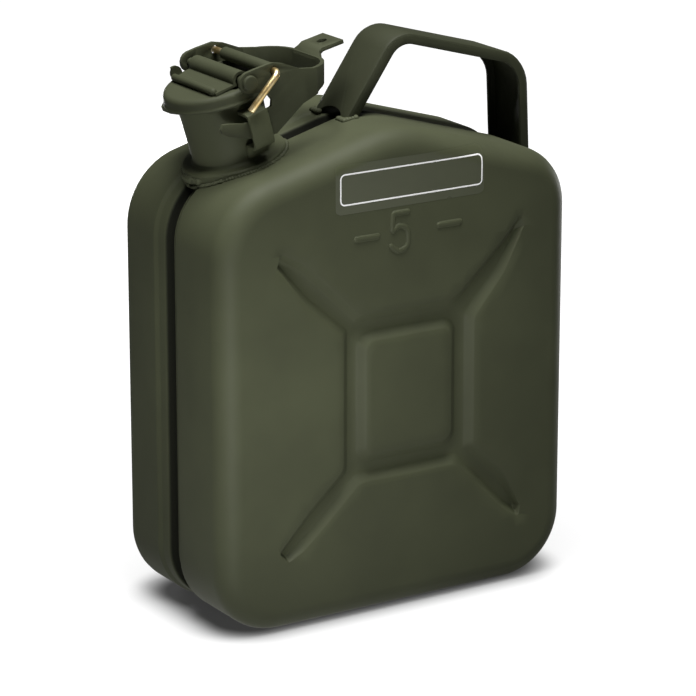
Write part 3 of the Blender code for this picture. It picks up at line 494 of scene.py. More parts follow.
# Across, up and radius of each corner in millimetres, two lines an arm: upper right, upper
# left, lower left, lower right.
FACE_ARMS = [
    (43.0, 36.0, 9.0), (62.6, 58.2, 25.0), (75.4, 83.0, 1.2),
    (73.8, 90.0, 1.2), (64.5, 80.2, 14.0), (29.8, 48.6, 22.0),
    (-31.5, 48.4, 9.0), (-66.5, 82.0, 14.0), (-81.5, 90.0, 1.6),
    (-84.0, 82.0, 1.6), (-66.0, 58.8, 30.0), (-42.6, 38.0, 9.0),
    (-42.6, -38.5, 9.0), (-64.7, -58.4, 30.0), (-83.6, -79.0, 2.0),
    (-77.6, -85.2, 2.0), (-66.7, -79.8, 14.0), (-31.5, -47.8, 10.0),
    (31.5, -47.8, 10.0), (63.9, -80.8, 14.0), (74.3, -87.0, 1.2),
    (75.6, -81.0, 1.2), (64.4, -59.2, 25.0), (43.2, -38.2, 9.0),
]
FLOOR_ARMS = [
    (38.2, 37.8, 4.0), (58.7, 60.9, 20.0), (72.2, 81.0, 0.5),
    (71.6, 82.6, 0.5), (64.9, 74.9, 10.0), (31.7, 43.8, 14.0),
    (-33.4, 43.6, 4.0), (-69.0, 78.4, 10.0), (-80.0, 85.6, 0.6),
    (-81.2, 82.8, 0.6), (-62.6, 62.0, 24.0), (-37.8, 40.2, 4.0),
    (-37.8, -40.6, 4.0), (-61.5, -61.7, 24.0), (-79.8, -80.6, 0.6),
    (-78.0, -82.4, 0.6), (-69.1, -76.4, 10.0), (-33.3, -43.0, 5.0),
    (33.5, -43.0, 5.0), (66.5, -77.5, 10.0), (72.8, -82.4, 0.5),
    (73.2, -80.0, 0.5), (60.7, -61.9, 20.0), (38.4, -40.2, 4.0),
]


def cross_loop(arms):
    corners = [PANEL_CENTRE + Vector((across, up)) * MM for across, up, radius in arms]
    return rounded_loop(corners, [radius * MM for across, up, radius in arms], 6)


def pad_loop(half_x, half_z, radius):
    corners = [(half_x, -half_z), (half_x, half_z), (-half_x, half_z), (-half_x, -half_z)]
    placed = [PANEL_CENTRE + Vector(corner) * MM for corner in corners]
    return rounded_loop(placed, [radius * MM] * 4, 10)


def soft_step(share):
    """A share from 0 to 1 whose start and end are eased."""
    return share * share * (3.0 - 2.0 * share)


def press_wall(upper, lower):
    """Loops from face level to floor level, which start and end a little outside the wall."""
    loops = []
    for step in range(WALL_STEPS + 1):
        share = -WALL_LEAD + (1.0 + 2.0 * WALL_LEAD) * step / WALL_STEPS
        ramp = min(max((share + WALL_LEAD * 0.6) / (1.0 + 1.2 * WALL_LEAD), 0.0), 1.0)
        sink = soft_step(ramp) * 0.2 + ramp * 0.8
        if step in (0, WALL_STEPS):
            sink = float(step == WALL_STEPS)
        loop = [high.lerp(low, share) for high, low in zip(upper, lower)]
        loops.append((loop, BODY_DEPTH / 2.0 - PRESS_DEPTH * sink))
    return loops


cross_walls = press_wall(cross_loop(FACE_ARMS), cross_loop(FLOOR_ARMS))
pad_walls = press_wall(pad_loop(27.6, 32.5, 6.0), pad_loop(32.4, 37.5, 9.0))[::-1]
print("cross loops:", len(cross_walls), "of", len(cross_walls[0][0]), "points")

# %% [markdown]
# The two pressed halves
#
# Each half is one deep drawing. Its section starts at the weld flange hidden in the groove,
# comes up the groove's wall, rolls over the lip, runs along the side and turns through the
# large radius into the broad face. The rear half has a wider, slightly sunken band beside the
# groove. The flange, groove and faces are one open surface, and Solidify gives it the sheet.

# %% Section of each half, and the crown of its face
SHEET = 1.0 * MM
FACE_CROWN = 0.7 * MM
CROWN_REACH = (104.0 * MM, 118.0 * MM)
CROWN_MIDDLE = 122.0 * MM
EDGE_RADIUS = 12.2
FACE_DEPTH = 55.25
# Corners (inset from the outline, distance from the seam) and their radii, in millimetres.
FLANGE = [((4.2, 1.15), 0.0), ((8.3, 1.15), 0.7), ((8.3, 2.7), 0.7)]
BROAD_FACE = [((0.0, FACE_DEPTH), EDGE_RADIUS), ((13.0, FACE_DEPTH), 0.0)]
FRONT_LIP = [((4.2, 5.0), 1.6), ((0.0, 6.4), 2.6)]
REAR_LIP = [((5.0, 5.2), 1.6), ((1.7, 6.6), 2.4), ((1.3, 13.6), 3.0), ((0.0, 16.8), 3.0)]


def crown(spot):
    """How far the face bulges at a point of the XZ plane."""
    across = (spot[0] / CROWN_REACH[0]) ** 2
    up = ((spot[1] - CROWN_MIDDLE) / CROWN_REACH[1]) ** 2
    return FACE_CROWN * max(0.0, 1.0 - across) * max(0.0, 1.0 - up)


print("crown at the panel's centre:", round(crown(PANEL_CENTRE) / MM, 2), "mm")

# %% [markdown]
# A flat face with holes
#
# Long thin triangles would spoil the shading of the flat areas between the press walls. Each
# area gets a grid of staggered points, and a Delaunay triangulation joins them with the
# curved outlines into even triangles.

# %% Fill a flat area with even triangles
GRID_PITCH = 7.0 * MM
GRID_ROWS = 60


def inside(spot, loop):
    """Whether a flat point lies within a closed loop."""
    found = False
    for index, point in enumerate(loop):
        other = loop[index - 1]
        if (point.y > spot.y) != (other.y > spot.y):
            cross_x = point.x + (spot.y - point.y) * (other.x - point.x) / (other.y - point.y)
            if spot.x < cross_x:
                found = not found
    return found


def clearance(spot, loop):
    """Distance from a flat point to the nearest edge of a closed loop."""
    least = 1.0
    for index, point in enumerate(loop):
        along = loop[index - 1] - point
        share = min(max((spot - point).dot(along) / along.length_squared, 0.0), 1.0)
        least = min(least, (spot - point - along * share).length)
    return least


def flat_fill(outer, holes):
    """Flat points and index triples of the triangles between an outer loop and its holes."""
    loops = [outer] + holes
    spots = []
    edges = []
    for loop in loops:
        first = len(spots)
        count = len(loop)
        spots += [point.copy() for point in loop]
        edges += [(first + index, first + (index + 1) % count) for index in range(count)]

    def covered(spot):
        return inside(spot, outer) and not any(inside(spot, hole) for hole in holes)

    low_x = min(point.x for point in outer)
    low_z = min(point.y for point in outer)
    for row in range(GRID_ROWS):
        for column in range(GRID_ROWS):
            across = low_x + (column + 0.5 * (row % 2)) * GRID_PITCH
            spot = Vector((across, low_z + row * GRID_PITCH * 0.87))
            if covered(spot) and min(clearance(spot, loop) for loop in loops) > GRID_PITCH * 0.4:
                spots.append(spot)
    points, _, triples, *_ = delaunay_2d_cdt(spots, edges, [], 0, 1e-7)
    faces = []
    for triple in triples:
        middle = sum((points[index] for index in triple), Vector((0.0, 0.0))) / 3.0
        if covered(middle):
            faces.append(triple)
    return points, faces


print("grid pitch:", GRID_PITCH)

# %% Draw both halves


def draw_half(name, side, section):
    """One pressed half as an open surface with its press radii."""
    corners, radii = zip(*section)
    shape = bmesh.new()

    def ring(points, depth):
        return [shape.verts.new((point.x, side * depth, point.y)) for point in points]

    def fill(outer, holes, depth):
        spots, faces = flat_fill(outer, holes)
        verts = ring(spots, depth)
        for triple in faces:
            shape.faces.new([verts[index] for index in triple])

    path = rounded_path(corners, radii, 7)
    rings = [(body_ring(point.x * MM), point.y * MM) for point in path]
    for walls in (rings, cross_walls, pad_walls):
        join_loops(shape, [ring(loop, depth) for loop, depth in walls])
    face = BODY_DEPTH / 2.0
    fill(rings[-1][0], [cross_walls[0][0]], face)
    fill(cross_walls[-1][0], [pad_walls[0][0]], face - PRESS_DEPTH)
    fill(pad_walls[-1][0], [], face)
    bmesh.ops.remove_doubles(shape, verts=shape.verts, dist=0.000002)
    for vert in shape.verts:
        if abs(vert.co.y) > face - 6.0 * MM:
            vert.co.y += side * crown((vert.co.x, vert.co.z))
    bmesh.ops.recalc_face_normals(shape, faces=shape.faces)
    spot = Vector((PANEL_CENTRE.x, side * face, PANEL_CENTRE.y))
    middle = min(shape.faces, key=lambda facet: (facet.calc_center_median() - spot).length)
    if middle.normal.y * side < 0.0:
        bmesh.ops.reverse_faces(shape, faces=shape.faces)
    half = from_bmesh(name, shape)
    wall = half.modifiers.new("sheet", "SOLIDIFY")
    wall.thickness = SHEET
    wall.offset = -1.0
    return half


front = draw_half("body_front", -1, FLANGE + FRONT_LIP + BROAD_FACE)
rear = draw_half("body_rear", 1, FLANGE + REAR_LIP + BROAD_FACE)
print("halves:", len(front.data.polygons), "and", len(rear.data.polygons), "faces")

# %% [markdown]
# The seam and the mouth
#
# The two flanges are welded along their rim, which closes the can. One narrow strip between
# them stands for that weld and keeps light from shining through. The mouth is cut through the
# halves and the strip, square to the shoulder. There the neck has a frame of its own, in which
# up is along the neck.

# %% Weld the seam and open the mouth
NECK_FOOT = Vector((-71.5 * MM, 0.0, PEAK_Z - 72.5 * MM * math.tan(SHOULDER_SLOPE)))
NECK_TURN = Matrix.Rotation(-SHOULDER_SLOPE, 4, "Y")
STRIP_SECTION = ((4.7, -0.6), (4.7, 0.6), (7.6, 0.6), (7.6, -0.6))
MOUTH_RADIUS = 0.0204


def on_neck(across, depth, up):
    """A point given in the neck's own frame, in millimetres."""
    return NECK_FOOT + NECK_TURN @ Vector((across * MM, depth * MM, up * MM))


def seam_weld():
    """The fused strip that closes the gap between the two flanges."""
    shape = bmesh.new()
    loops = []
    for inset, depth in STRIP_SECTION:
        ring = body_ring(inset * MM)
        loops.append([shape.verts.new((point.x, depth * MM, point.y)) for point in ring])
    join_loops(shape, loops + loops[:1])
    bmesh.ops.recalc_face_normals(shape, faces=shape.faces)
    return from_bmesh("seam_weld", shape)


for half, node in ((front, "front_shell"), (rear, "rear_shell"), (seam_weld(), None)):
    bore = bmesh.new()
    bmesh.ops.create_cone(
        bore, cap_ends=True, segments=48, radius1=MOUTH_RADIUS, radius2=MOUTH_RADIUS, depth=0.04
    )
    cutter = from_bmesh("mouth_cutter", bore)
    cutter.matrix_world = Matrix.Translation(NECK_FOOT) @ NECK_TURN
    hole = half.modifiers.new("mouth", "BOOLEAN")
    hole.object = cutter
    hole.solver = "MANIFOLD"
    piece = settle(half, coat, 40.0)
    bpy.data.objects.remove(cutter, do_unlink=True)
    if node:
        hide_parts(node)
    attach(piece, "can")

# %% [markdown]
# The cap
#
# The cap is pressed from one round sheet: a dished floor, a rim and a skirt that ends in a
# small bead. At the front its rim widens to a broad seat for the strap's rolled lip, so the
# profile is worked out anew at every step of the turn.

# %% Turn the cap
CAP_STEPS = 96
CAP_TOP = 46.0
CAP_FLOOR = 42.9
RIM_START = 26.0
RIM_ROUND = 3.1
SKIRT_BEAD = [(29.15, 41.4), (29.2, 40.2), (29.7, 39.8), (29.95, 39.2), (29.75, 38.6), (29.0, 38.3)]
CAP_INSIDE = [(28.4, 38.9), (27.9, 43.6), (23.0, 41.7), (0.0, 41.7)]


def cap_profile(turn):
    """Points (distance from the axis, height) from the top's centre to the inside's centre."""
    front_share = soft_step(min(max((-math.cos(turn) - 0.05) / 0.35, 0.0), 1.0))
    seat = 24.6 - 11.0 * front_share
    profile = [(0.0, CAP_FLOOR), (seat - 1.4, CAP_FLOOR), (seat - 0.7, 43.4), (seat, 45.2)]
    profile += [(seat + 0.7, CAP_TOP), (RIM_START, CAP_TOP)]
    for part in range(1, 9):
        bend = math.radians(78.0) * part / 8.0
        reach = RIM_START + RIM_ROUND * math.sin(bend)
        profile.append((reach, CAP_TOP - RIM_ROUND * (1.0 - math.cos(bend))))
    return profile + SKIRT_BEAD + CAP_INSIDE


def wide_rim_cap():
    shape = bmesh.new()
    rows = []
    for step in range(CAP_STEPS):
        turn = math.tau * step / CAP_STEPS
        across, along = math.cos(turn), math.sin(turn)
        spots = [on_neck(reach * across, reach * along, up) for reach, up in cap_profile(turn)]
        rows.append([shape.verts.new(spot) for spot in spots])
    join_rows(shape, rows, closed=True)
    bmesh.ops.remove_doubles(shape, verts=shape.verts, dist=0.000002)
    bmesh.ops.recalc_face_normals(shape, faces=shape.faces)
    piece = settle(from_bmesh("cap_dressed", shape), coat_cap_painted_shade, 50.0)
    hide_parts("cap")
    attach(piece, "cap")


wide_rim_cap()

# %% [markdown]
# The strap's rolled lip
#
# The front edge of the hinge strap is rolled round, which stiffens it and leaves no sharp
# edge. The roll is a small capsule: a ball whose two halves are drawn apart.

# %% Roll the lip
LIP_RADIUS = 2.1 * MM
LIP_HALF_LENGTH = 20.4 * MM
LIP_CENTRE = on_neck(-12.6, 0.0, 48.0)


def lip_roll():
    """The rolled front edge of the strap that rests on the cap's rim."""
    shape = bmesh.new()
    turn = Matrix.Rotation(math.pi / 2.0, 4, "X")
    bmesh.ops.create_uvsphere(shape, u_segments=24, v_segments=16, radius=LIP_RADIUS, matrix=turn)
    for vert in shape.verts:
        if abs(vert.co.y) > 0.1 * MM:
            vert.co.y += math.copysign(LIP_HALF_LENGTH, vert.co.y)
        vert.co = LIP_CENTRE + NECK_TURN @ vert.co
    roll = settle(from_bmesh("lip_roll", shape), coat_cap_painted_shade, 60.0)
    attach(roll, "cap")


lip_roll()

# %% [markdown]
# Small sheet-metal parts
#
# Stamped and turned parts have no knife edges: tumbling and the powder both round them. A
# merged copy of each solid keeps its exact place, and a narrow bevel on its sharp edges gives
# the thin lines of light that show where one sheet ends. The strap's front edge is drawn back
# to meet its roll, and an oval cut out of the handle's foot lets the seam run on.

# %% Dress the closure and the handle
NOTCH_CENTRE = (-10.9 * MM, 0.0, 272.0 * MM)
NOTCH_SIZE = (10.5 * MM, 5.0 * MM, 7.0 * MM, 1.0)
HANDLE_LEG = Vector((0.571, 0.0, 0.821))
STRAP_EDGE = -13.2 * MM
STRAP_DRAWN_BACK = 1.8 * MM
SHARP_ANGLE = 48.0
STRAP_SHARP_ANGLE = 24.0


def foot_notch():
    """A cutter for the handle's foot: an oval cylinder, square to the leg's sheet."""
    oval = bmesh.new()
    bmesh.ops.create_cone(oval, cap_ends=True, segments=40, radius1=1.0, radius2=1.0, depth=2.0)
    cutter = from_bmesh("foot_notch", oval)
    aside = Vector((0.0, 1.0, 0.0))
    axes = Matrix((aside, HANDLE_LEG, aside.cross(HANDLE_LEG))).transposed()
    size = Matrix.Diagonal(NOTCH_SIZE)
    cutter.matrix_world = Matrix.Translation(NOTCH_CENTRE) @ axes.to_4x4() @ size
    return cutter


def draw_back_edge(shape):
    """Move the front edge of the strap back by the room that its roll takes."""
    for vert in shape.verts:
        if (vert.co - NECK_FOOT).dot(NECK_TURN @ Vector((1.0, 0.0, 0.0))) < STRAP_EDGE:
            vert.co += NECK_TURN @ Vector((STRAP_DRAWN_BACK, 0.0, 0.0))


def dressed(node, body, material, width):
    """A merged copy of a CAD node with rounded edges and its own finish."""
    shape = bmesh.new()
    shape.from_mesh(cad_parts[node].data)
    bmesh.ops.remove_doubles(shape, verts=shape.verts, dist=0.000004)
    flat = math.radians(1.0)
    bmesh.ops.dissolve_limit(shape, angle_limit=flat, verts=shape.verts, edges=shape.edges)
    if node == "hinge_strap":
        draw_back_edge(shape)
    copy = from_bmesh(node + "_dressed", shape)
    cutter = foot_notch() if node == "handle" else None
    if cutter:
        notch = copy.modifiers.new("notch", "BOOLEAN")
        notch.object = cutter
        notch.solver = "EXACT"
    bevel = copy.modifiers.new("edge radius", "BEVEL")
    bevel.width = width
    bevel.segments = 2
    bevel.limit_method = "ANGLE"
    bevel.angle_limit = math.radians(38.0)
    piece = settle(copy, material, STRAP_SHARP_ANGLE if node == "hinge_strap" else SHARP_ANGLE)
    if cutter:
        bpy.data.objects.remove(cutter, do_unlink=True)
    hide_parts(node)
    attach(piece, body)


# Node, body, finish and the radius of its edges in metres.
DRESSING = [
    ("neck", "can", coat_neck_painted_light, 0.00025),
    ("front_bracket", "can", coat_neck_painted_light, 0.0003),
    ("rear_bracket", "can", coat_neck_painted_light, 0.0003),
    ("handle", "can", coat_grip_painted_shade, 0.0004),
    ("breather_tube", "can", zinc, 0.00012),
    ("cap_gasket", "cap", rubber, 0.0002),
    ("gasket_plate", "cap", zinc, 0.0002),
    ("hinge_strap", "cap", coat_cap_painted_shade, 0.0003),
    ("lever", "lever", coat_cap_painted_shade, 0.00045),
    ("hinge_pin", "lever", coat_cap_painted_shade, 0.0003),
    ("spacer_tube", "lever", coat_cap_painted_shade, 0.0002),
    ("locking_pin", "locking_pin", plating, 0.0003),
]
for node, body, material, width in DRESSING:
    dressed(node, body, material, width)

# %% [markdown]
# Weld beads
#
# A weld bead is a row of overlapping ripples laid along a seam. Geometry Nodes suit it: the
# tree resamples a path at the ripple pitch, sets a flattened drop on every point, turned to
# follow the path, varies its size a little with a fixed seed, and realizes the result.

# %% A Geometry Nodes tree that lays a bead
BEAD_INPUTS = {"Pitch": 0.0016, "Ripple Radius": 0.0019, "Flatness": 0.6, "Unevenness": 0.22}


def bead_tree(material):
    tree = bpy.data.node_groups.new("weld_bead", "GeometryNodeTree")
    face = tree.interface
    face.new_socket("Geometry", in_out="INPUT", socket_type="NodeSocketGeometry")
    for name, value in BEAD_INPUTS.items():
        made = face.new_socket(name, in_out="INPUT", socket_type="NodeSocketFloat")
        made.default_value = value
    seed = face.new_socket("Seed", in_out="INPUT", socket_type="NodeSocketInt")
    seed.default_value = 4
    face.new_socket("Geometry", in_out="OUTPUT", socket_type="NodeSocketGeometry")

    def add(kind, **settings):
        node = tree.nodes.new(kind)
        for key, value in settings.items():
            setattr(node, key, value)
        return node

    group_in = add("NodeGroupInput")
    group_out = add("NodeGroupOutput")
    resample = add("GeometryNodeResampleCurve", mode="LENGTH")
    drop = add("GeometryNodeMeshIcoSphere")
    drop.inputs["Subdivisions"].default_value = 2
    drop.inputs["Radius"].default_value = 1.0
    tangent = add("GeometryNodeInputTangent")
    align = add("FunctionNodeAlignRotationToVector", axis="X")
    randomly = add("FunctionNodeRandomValue", data_type="FLOAT")
    low = add("ShaderNodeMath", operation="SUBTRACT")
    low.inputs[0].default_value = 1.0
    high = add("ShaderNodeMath", operation="ADD")
    high.inputs[0].default_value = 1.0
    size = add("ShaderNodeMath", operation="MULTIPLY")
    flat = add("ShaderNodeMath", operation="MULTIPLY")
    scale = add("ShaderNodeCombineXYZ")
    place_drops = add("GeometryNodeInstanceOnPoints")
    realize = add("GeometryNodeRealizeInstances")
    smooth = add("GeometryNodeSetShadeSmooth")
    paint = add("GeometryNodeSetMaterial")
    paint.inputs["Material"].default_value = material
    wires = (
        (group_in, "Geometry", resample, "Curve"), (group_in, "Pitch", resample, "Length"),
        (group_in, "Unevenness", low, 1), (group_in, "Unevenness", high, 1),
        (low, 0, randomly, 2), (high, 0, randomly, 3),
        (group_in, "Seed", randomly, "Seed"), (randomly, 1, size, 0),
        (group_in, "Ripple Radius", size, 1), (size, 0, flat, 0),
        (group_in, "Flatness", flat, 1), (flat, 0, scale, 0),
        (size, 0, scale, 1), (flat, 0, scale, 2),
        (tangent, "Tangent", align, "Vector"), (resample, "Curve", place_drops, "Points"),
        (drop, "Mesh", place_drops, "Instance"), (align, "Rotation", place_drops, "Rotation"),
        (scale, "Vector", place_drops, "Scale"), (place_drops, "Instances", realize, "Geometry"),
        (realize, "Geometry", smooth, "Geometry"), (smooth, "Geometry", paint, "Geometry"),
        (paint, "Geometry", group_out, "Geometry"),
    )
    for source, give, target, take in wires:
        tree.links.new(source.outputs[give], target.inputs[take])
    return tree


weld_bead = bead_tree(coat_weld)
print("bead tree:", len(weld_bead.nodes), "nodes")

# %% Lay a bead along a path


def lay_bead(name, points, closed=False, **sizes):
    curve = bpy.data.curves.new(name, "CURVE")
    curve.dimensions = "3D"
    spline = curve.splines.new("POLY")
    spline.points.add(len(points) - 1)
    for point, spot in zip(spline.points, points):
        point.co = (*spot, 1.0)
    spline.use_cyclic_u = closed
    bead = link(name, curve)
    layer = bead.modifiers.new("bead", "NODES")
    layer.node_group = weld_bead
    for item in weld_bead.interface.items_tree:
        key = item.name.lower().replace(" ", "_")
        if item.in_out == "INPUT" and key in sizes:
            layer[item.identifier] = sizes[key]
    mesh = baked_mesh(bead)
    piece = link(name, mesh)
    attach(piece, "can")
    print(f"{name}: {len(mesh.polygons)} faces")


# %% [markdown]
# The collar's and the handle's welds
#
# The collar sits on the rounded shoulder, so its bead has to follow the skin of the body: at
# each step round the neck the height is found by going down until the point lies inside the
# outline. Over the seam's groove the bead dips, and a thicker blob is left at its front end.
# The handle's feet have short beads at their sides.

# %% Lay the collar's weld
COLLAR_RADIUS = 29.0
COLLAR_STEPS = 72
DIP_HALF_WIDTH = 7.0
DIP_DEPTH = 1.6


def drop_to_body(across, depth):
    """Height in the neck's frame at which the body's skin lies under a point."""
    for step in range(120):
        up = 3.0 - step * 0.15
        spot = on_neck(across, depth, up)
        if inside(Vector((spot.x, spot.z)), OUTLINE):
            return up
    return 0.0


collar_path = []
for step in range(COLLAR_STEPS):
    angle = math.tau * step / COLLAR_STEPS
    across = COLLAR_RADIUS * math.cos(angle)
    depth = COLLAR_RADIUS * math.sin(angle)
    height = drop_to_body(across, depth)
    if abs(depth) < DIP_HALF_WIDTH:
        height -= DIP_DEPTH * (1.0 - abs(depth) / DIP_HALF_WIDTH)
    collar_path.append(on_neck(across, depth, height + 0.2))
sizes = {"pitch": 0.0017, "ripple_radius": 0.0016, "flatness": 0.75}
lay_bead("collar_weld", collar_path, closed=True, **sizes)

# %% Lay the handle's welds and the blob


def top_height(across):
    """Height of the body's outline over a point, in millimetres."""
    best = 0.0
    for index, point in enumerate(OUTLINE):
        other = OUTLINE[index - 1]
        if (point.x > across * MM) != (other.x > across * MM):
            share = (across * MM - point.x) / (other.x - point.x)
            best = max(best, point.y + (other.y - point.y) * share)
    return best / MM


for side, name in ((-1, "handle_weld_front"), (1, "handle_weld_rear")):
    path = []
    for step in range(11):
        depth = 10.8 + 5.6 * min(step / 5.0, 1.0)
        across = -11.6 + 7.0 * max(step / 5.0 - 1.0, 0.0)
        path.append(Vector((across, side * depth, top_height(across) + 0.1)) * MM)
    lay_bead(name, path, pitch=0.0016, ripple_radius=0.0019, flatness=0.8, seed=3)
    path = [Vector((112.4, side * (6.0 + step), 223.0)) * MM for step in range(10)]
    lay_bead(name + "_low", path, pitch=0.0017, ripple_radius=0.0014, flatness=0.6, seed=5)

blob_path = [on_neck(-28.4 + abs(step - 3) * 0.2, 5.4 - step * 2.2, -1.2) for step in range(7)]
lay_bead("collar_blob", blob_path, pitch=0.0021, ripple_radius=0.0029, flatness=0.8, seed=9)

# %% [markdown]
# Marks on the front face
#
# The capacity is pressed out of the sheet as soft ridges less than a millimetre high: a plain
# figure between two dashes. Above it sits a clear film with a printed white line, its upper
# edge laid over the rounding of the shoulder. Each point of these pieces is placed on the skin
# of the face, crown and rounding included, and lifted off by its own small height.

# %% Lines that follow the skin of the face
SUNK = -0.2


def skin(across, up, lift):
    """A point over the front face; across, up and lift in millimetres."""
    spot = Vector((across, up)) * MM
    radius = EDGE_RADIUS * MM
    roll = radius - min(clearance(spot, OUTLINE), radius)
    depth = BODY_DEPTH / 2.0 - radius + math.sqrt(radius**2 - roll**2)
    return Vector((spot.x, -(depth + crown(spot) + lift * MM), spot.y))


def sweep(shape, path, profile, closed=False):
    """Run a profile of (offset, lift) along a line on the face, with round ends."""
    stations = [(spot, 1.0) for spot in path]
    if not closed:
        reach = max(offset for offset, lift in profile)
        for turn in (0.35, 0.7, 0.9, 0.99):
            narrow = math.sqrt(1.0 - turn * turn)
            out = (path[0] - path[1]).normalized() * reach * turn
            stations.insert(0, (path[0] + out, narrow))
            out = (path[-1] - path[-2]).normalized() * reach * turn
            stations.append((path[-1] + out, narrow))
    rows = []
    last = len(stations) - 1
    for index, (spot, narrow) in enumerate(stations):
        before = stations[index - 1][0] if closed or index > 0 else spot
        after = stations[(index + 1) % len(stations)][0] if closed or index < last else spot
        along = (after - before).normalized()
        sideways = Vector((along.y, -along.x))
        row = []
        for offset, lift in profile:
            across, up = spot + sideways * offset * narrow
            height = SUNK + (lift - SUNK) * math.sqrt(narrow)
            row.append(shape.verts.new(skin(across, up, height)))
        rows.append(row)
    join_rows(shape, rows, closed)


def on_face(name, shape, material):
    """Merge, turn outwards and settle a piece that lies on the front face."""
    bmesh.ops.remove_doubles(shape, verts=shape.verts, dist=0.000001)
    bmesh.ops.recalc_face_normals(shape, faces=shape.faces)
    if sum(facet.normal.y * facet.calc_area() for facet in shape.faces) > 0.0:
        bmesh.ops.reverse_faces(shape, faces=shape.faces)
    piece = settle(from_bmesh(name, shape), material, 60.0)
    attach(piece, "can")


print("the face lies at y", round(skin(0.0, 125.0, 0.0).y, 4))

# %% Press the capacity marks
FIGURE = [
    (4.2, 227.4), (-5.0, 227.4), (-5.6, 217.2), (-1.6, 220.2),
    (4.6, 219.2), (5.0, 206.6), (-2.2, 206.2), (-6.4, 209.4),
]
FIGURE_RADII = [0.0, 1.2, 0.6, 2.2, 5.0, 5.2, 3.4, 0.0]
DASHES = ((-28.2, -15.4, 216.2), (25.0, 37.8, 216.9))


def ridge_profile(half_width, height):
    profile = []
    for step in range(9):
        turn = -1.0 + 2.0 * step / 8
        rise = (1.0 - turn**4) ** 1.5
        profile.append((half_width * turn, SUNK + (height - SUNK) * rise))
    return profile


marks = bmesh.new()
sweep(marks, rounded_path(FIGURE, FIGURE_RADII, 5), ridge_profile(1.8, 0.85))
for start, end, up in DASHES:
    dash = [Vector((start + (end - start) * step / 6.0, up)) for step in range(7)]
    sweep(marks, dash, ridge_profile(2.1, 0.8))
on_face("capacity_marks", marks, coat)

# %% Finishes of the film and its line


def clear_film():
    finish = Finish("clear film over paint", roughness=0.26, specular=0.45)
    cloud = finish.clouds(45.0, 2.0)
    finish.feed("Base Color", finish.blend(cloud.between(0.35, 0.75), olive(1.04), olive(1.10)))
    finish.feed("Roughness", 0.24 + cloud * 0.10)
    finish.relief(finish.clouds(70.0, 2.0), 0.00006)
    return finish.material


def white_print():
    finish = Finish("white print", roughness=0.5, specular=0.4)
    grain = finish.clouds(900.0, 2.0)
    finish.feed("Base Color", finish.blend(grain, (0.93, 0.93, 0.92), (1.0, 1.0, 0.99)))
    finish.feed("Roughness", 0.45 + grain * 0.12)
    finish.relief(grain, 0.00001)
    return finish.material


film_finish = clear_film()
line_finish = white_print()
print("finishes:", film_finish.name, line_finish.name)

# %% Lay the film and print its line
FILM_LEFT, FILM_RIGHT, FILM_LOW, FILM_HIGH = -41.6, 54.0, 231.0, 258.2
FILM_ROUND = 3.0
FILM_LIFT = 0.08
LINE_CORNERS = [(-38.4, 236.2), (52.6, 236.2), (52.6, 253.0), (-38.4, 253.0)]
LINE_ROUND = 2.6
LINE_PROFILE = [(-0.42, 0.13), (0.0, 0.14), (0.42, 0.13)]

film = bmesh.new()
rows = []
for step in range(25):
    up = FILM_LOW + (FILM_HIGH - FILM_LOW) * step / 24.0
    rim = max(0.0, FILM_ROUND - min(up - FILM_LOW, FILM_HIGH - up))
    pull = FILM_ROUND - math.sqrt(FILM_ROUND**2 - rim**2)
    left = FILM_LEFT + pull
    width = FILM_RIGHT - FILM_LEFT - 2.0 * pull
    spots = [skin(left + width * column / 60.0, up, FILM_LIFT) for column in range(61)]
    rows.append([film.verts.new(spot) for spot in spots])
join_rows(film, rows)
on_face("label_film", film, film_finish)

line = rounded_loop(LINE_CORNERS, [LINE_ROUND] * 4, 6)
dense = []
for index, spot in enumerate(line):
    after = line[(index + 1) % len(line)]
    parts = max(1, round((after - spot).length / 2.0))
    dense += [spot.lerp(after, part / parts) for part in range(parts)]
printed = bmesh.new()
sweep(printed, dense, LINE_PROFILE, closed=True)
on_face("label_line", printed, line_finish)

# %% [markdown]
# The stage
#
# White reaches the picture through the floor's and the world's own brightness for camera rays,
# so the lamps can stay at the level at which paint looks as it is written. Close to the base
# that brightness fades into a painted shadow, standing in for the shade where hardly any light
# gets in under the rounded edge, and this soft dark line grounds the can. For mirrored rays the
# floor shines only on the left and in front and the backdrop is a faint haze, so the wire and
# the coat reflect both bright and dark. Of the five soft lamps a large one hangs overhead, a
# narrow key stands low in front on the left, a weak one lights the left side, and two low ones
# rim the back and the handle side.

# %% The floor
SHEEN = 1.0
# The painted shadow round the base: half the size of the box it starts from, and the distances
# beyond it over which it fades.
PAINTED_SHADOW_CORE = (0.080, 0.025)
PAINTED_SHADOW_FADE = (0.019, 0.046)


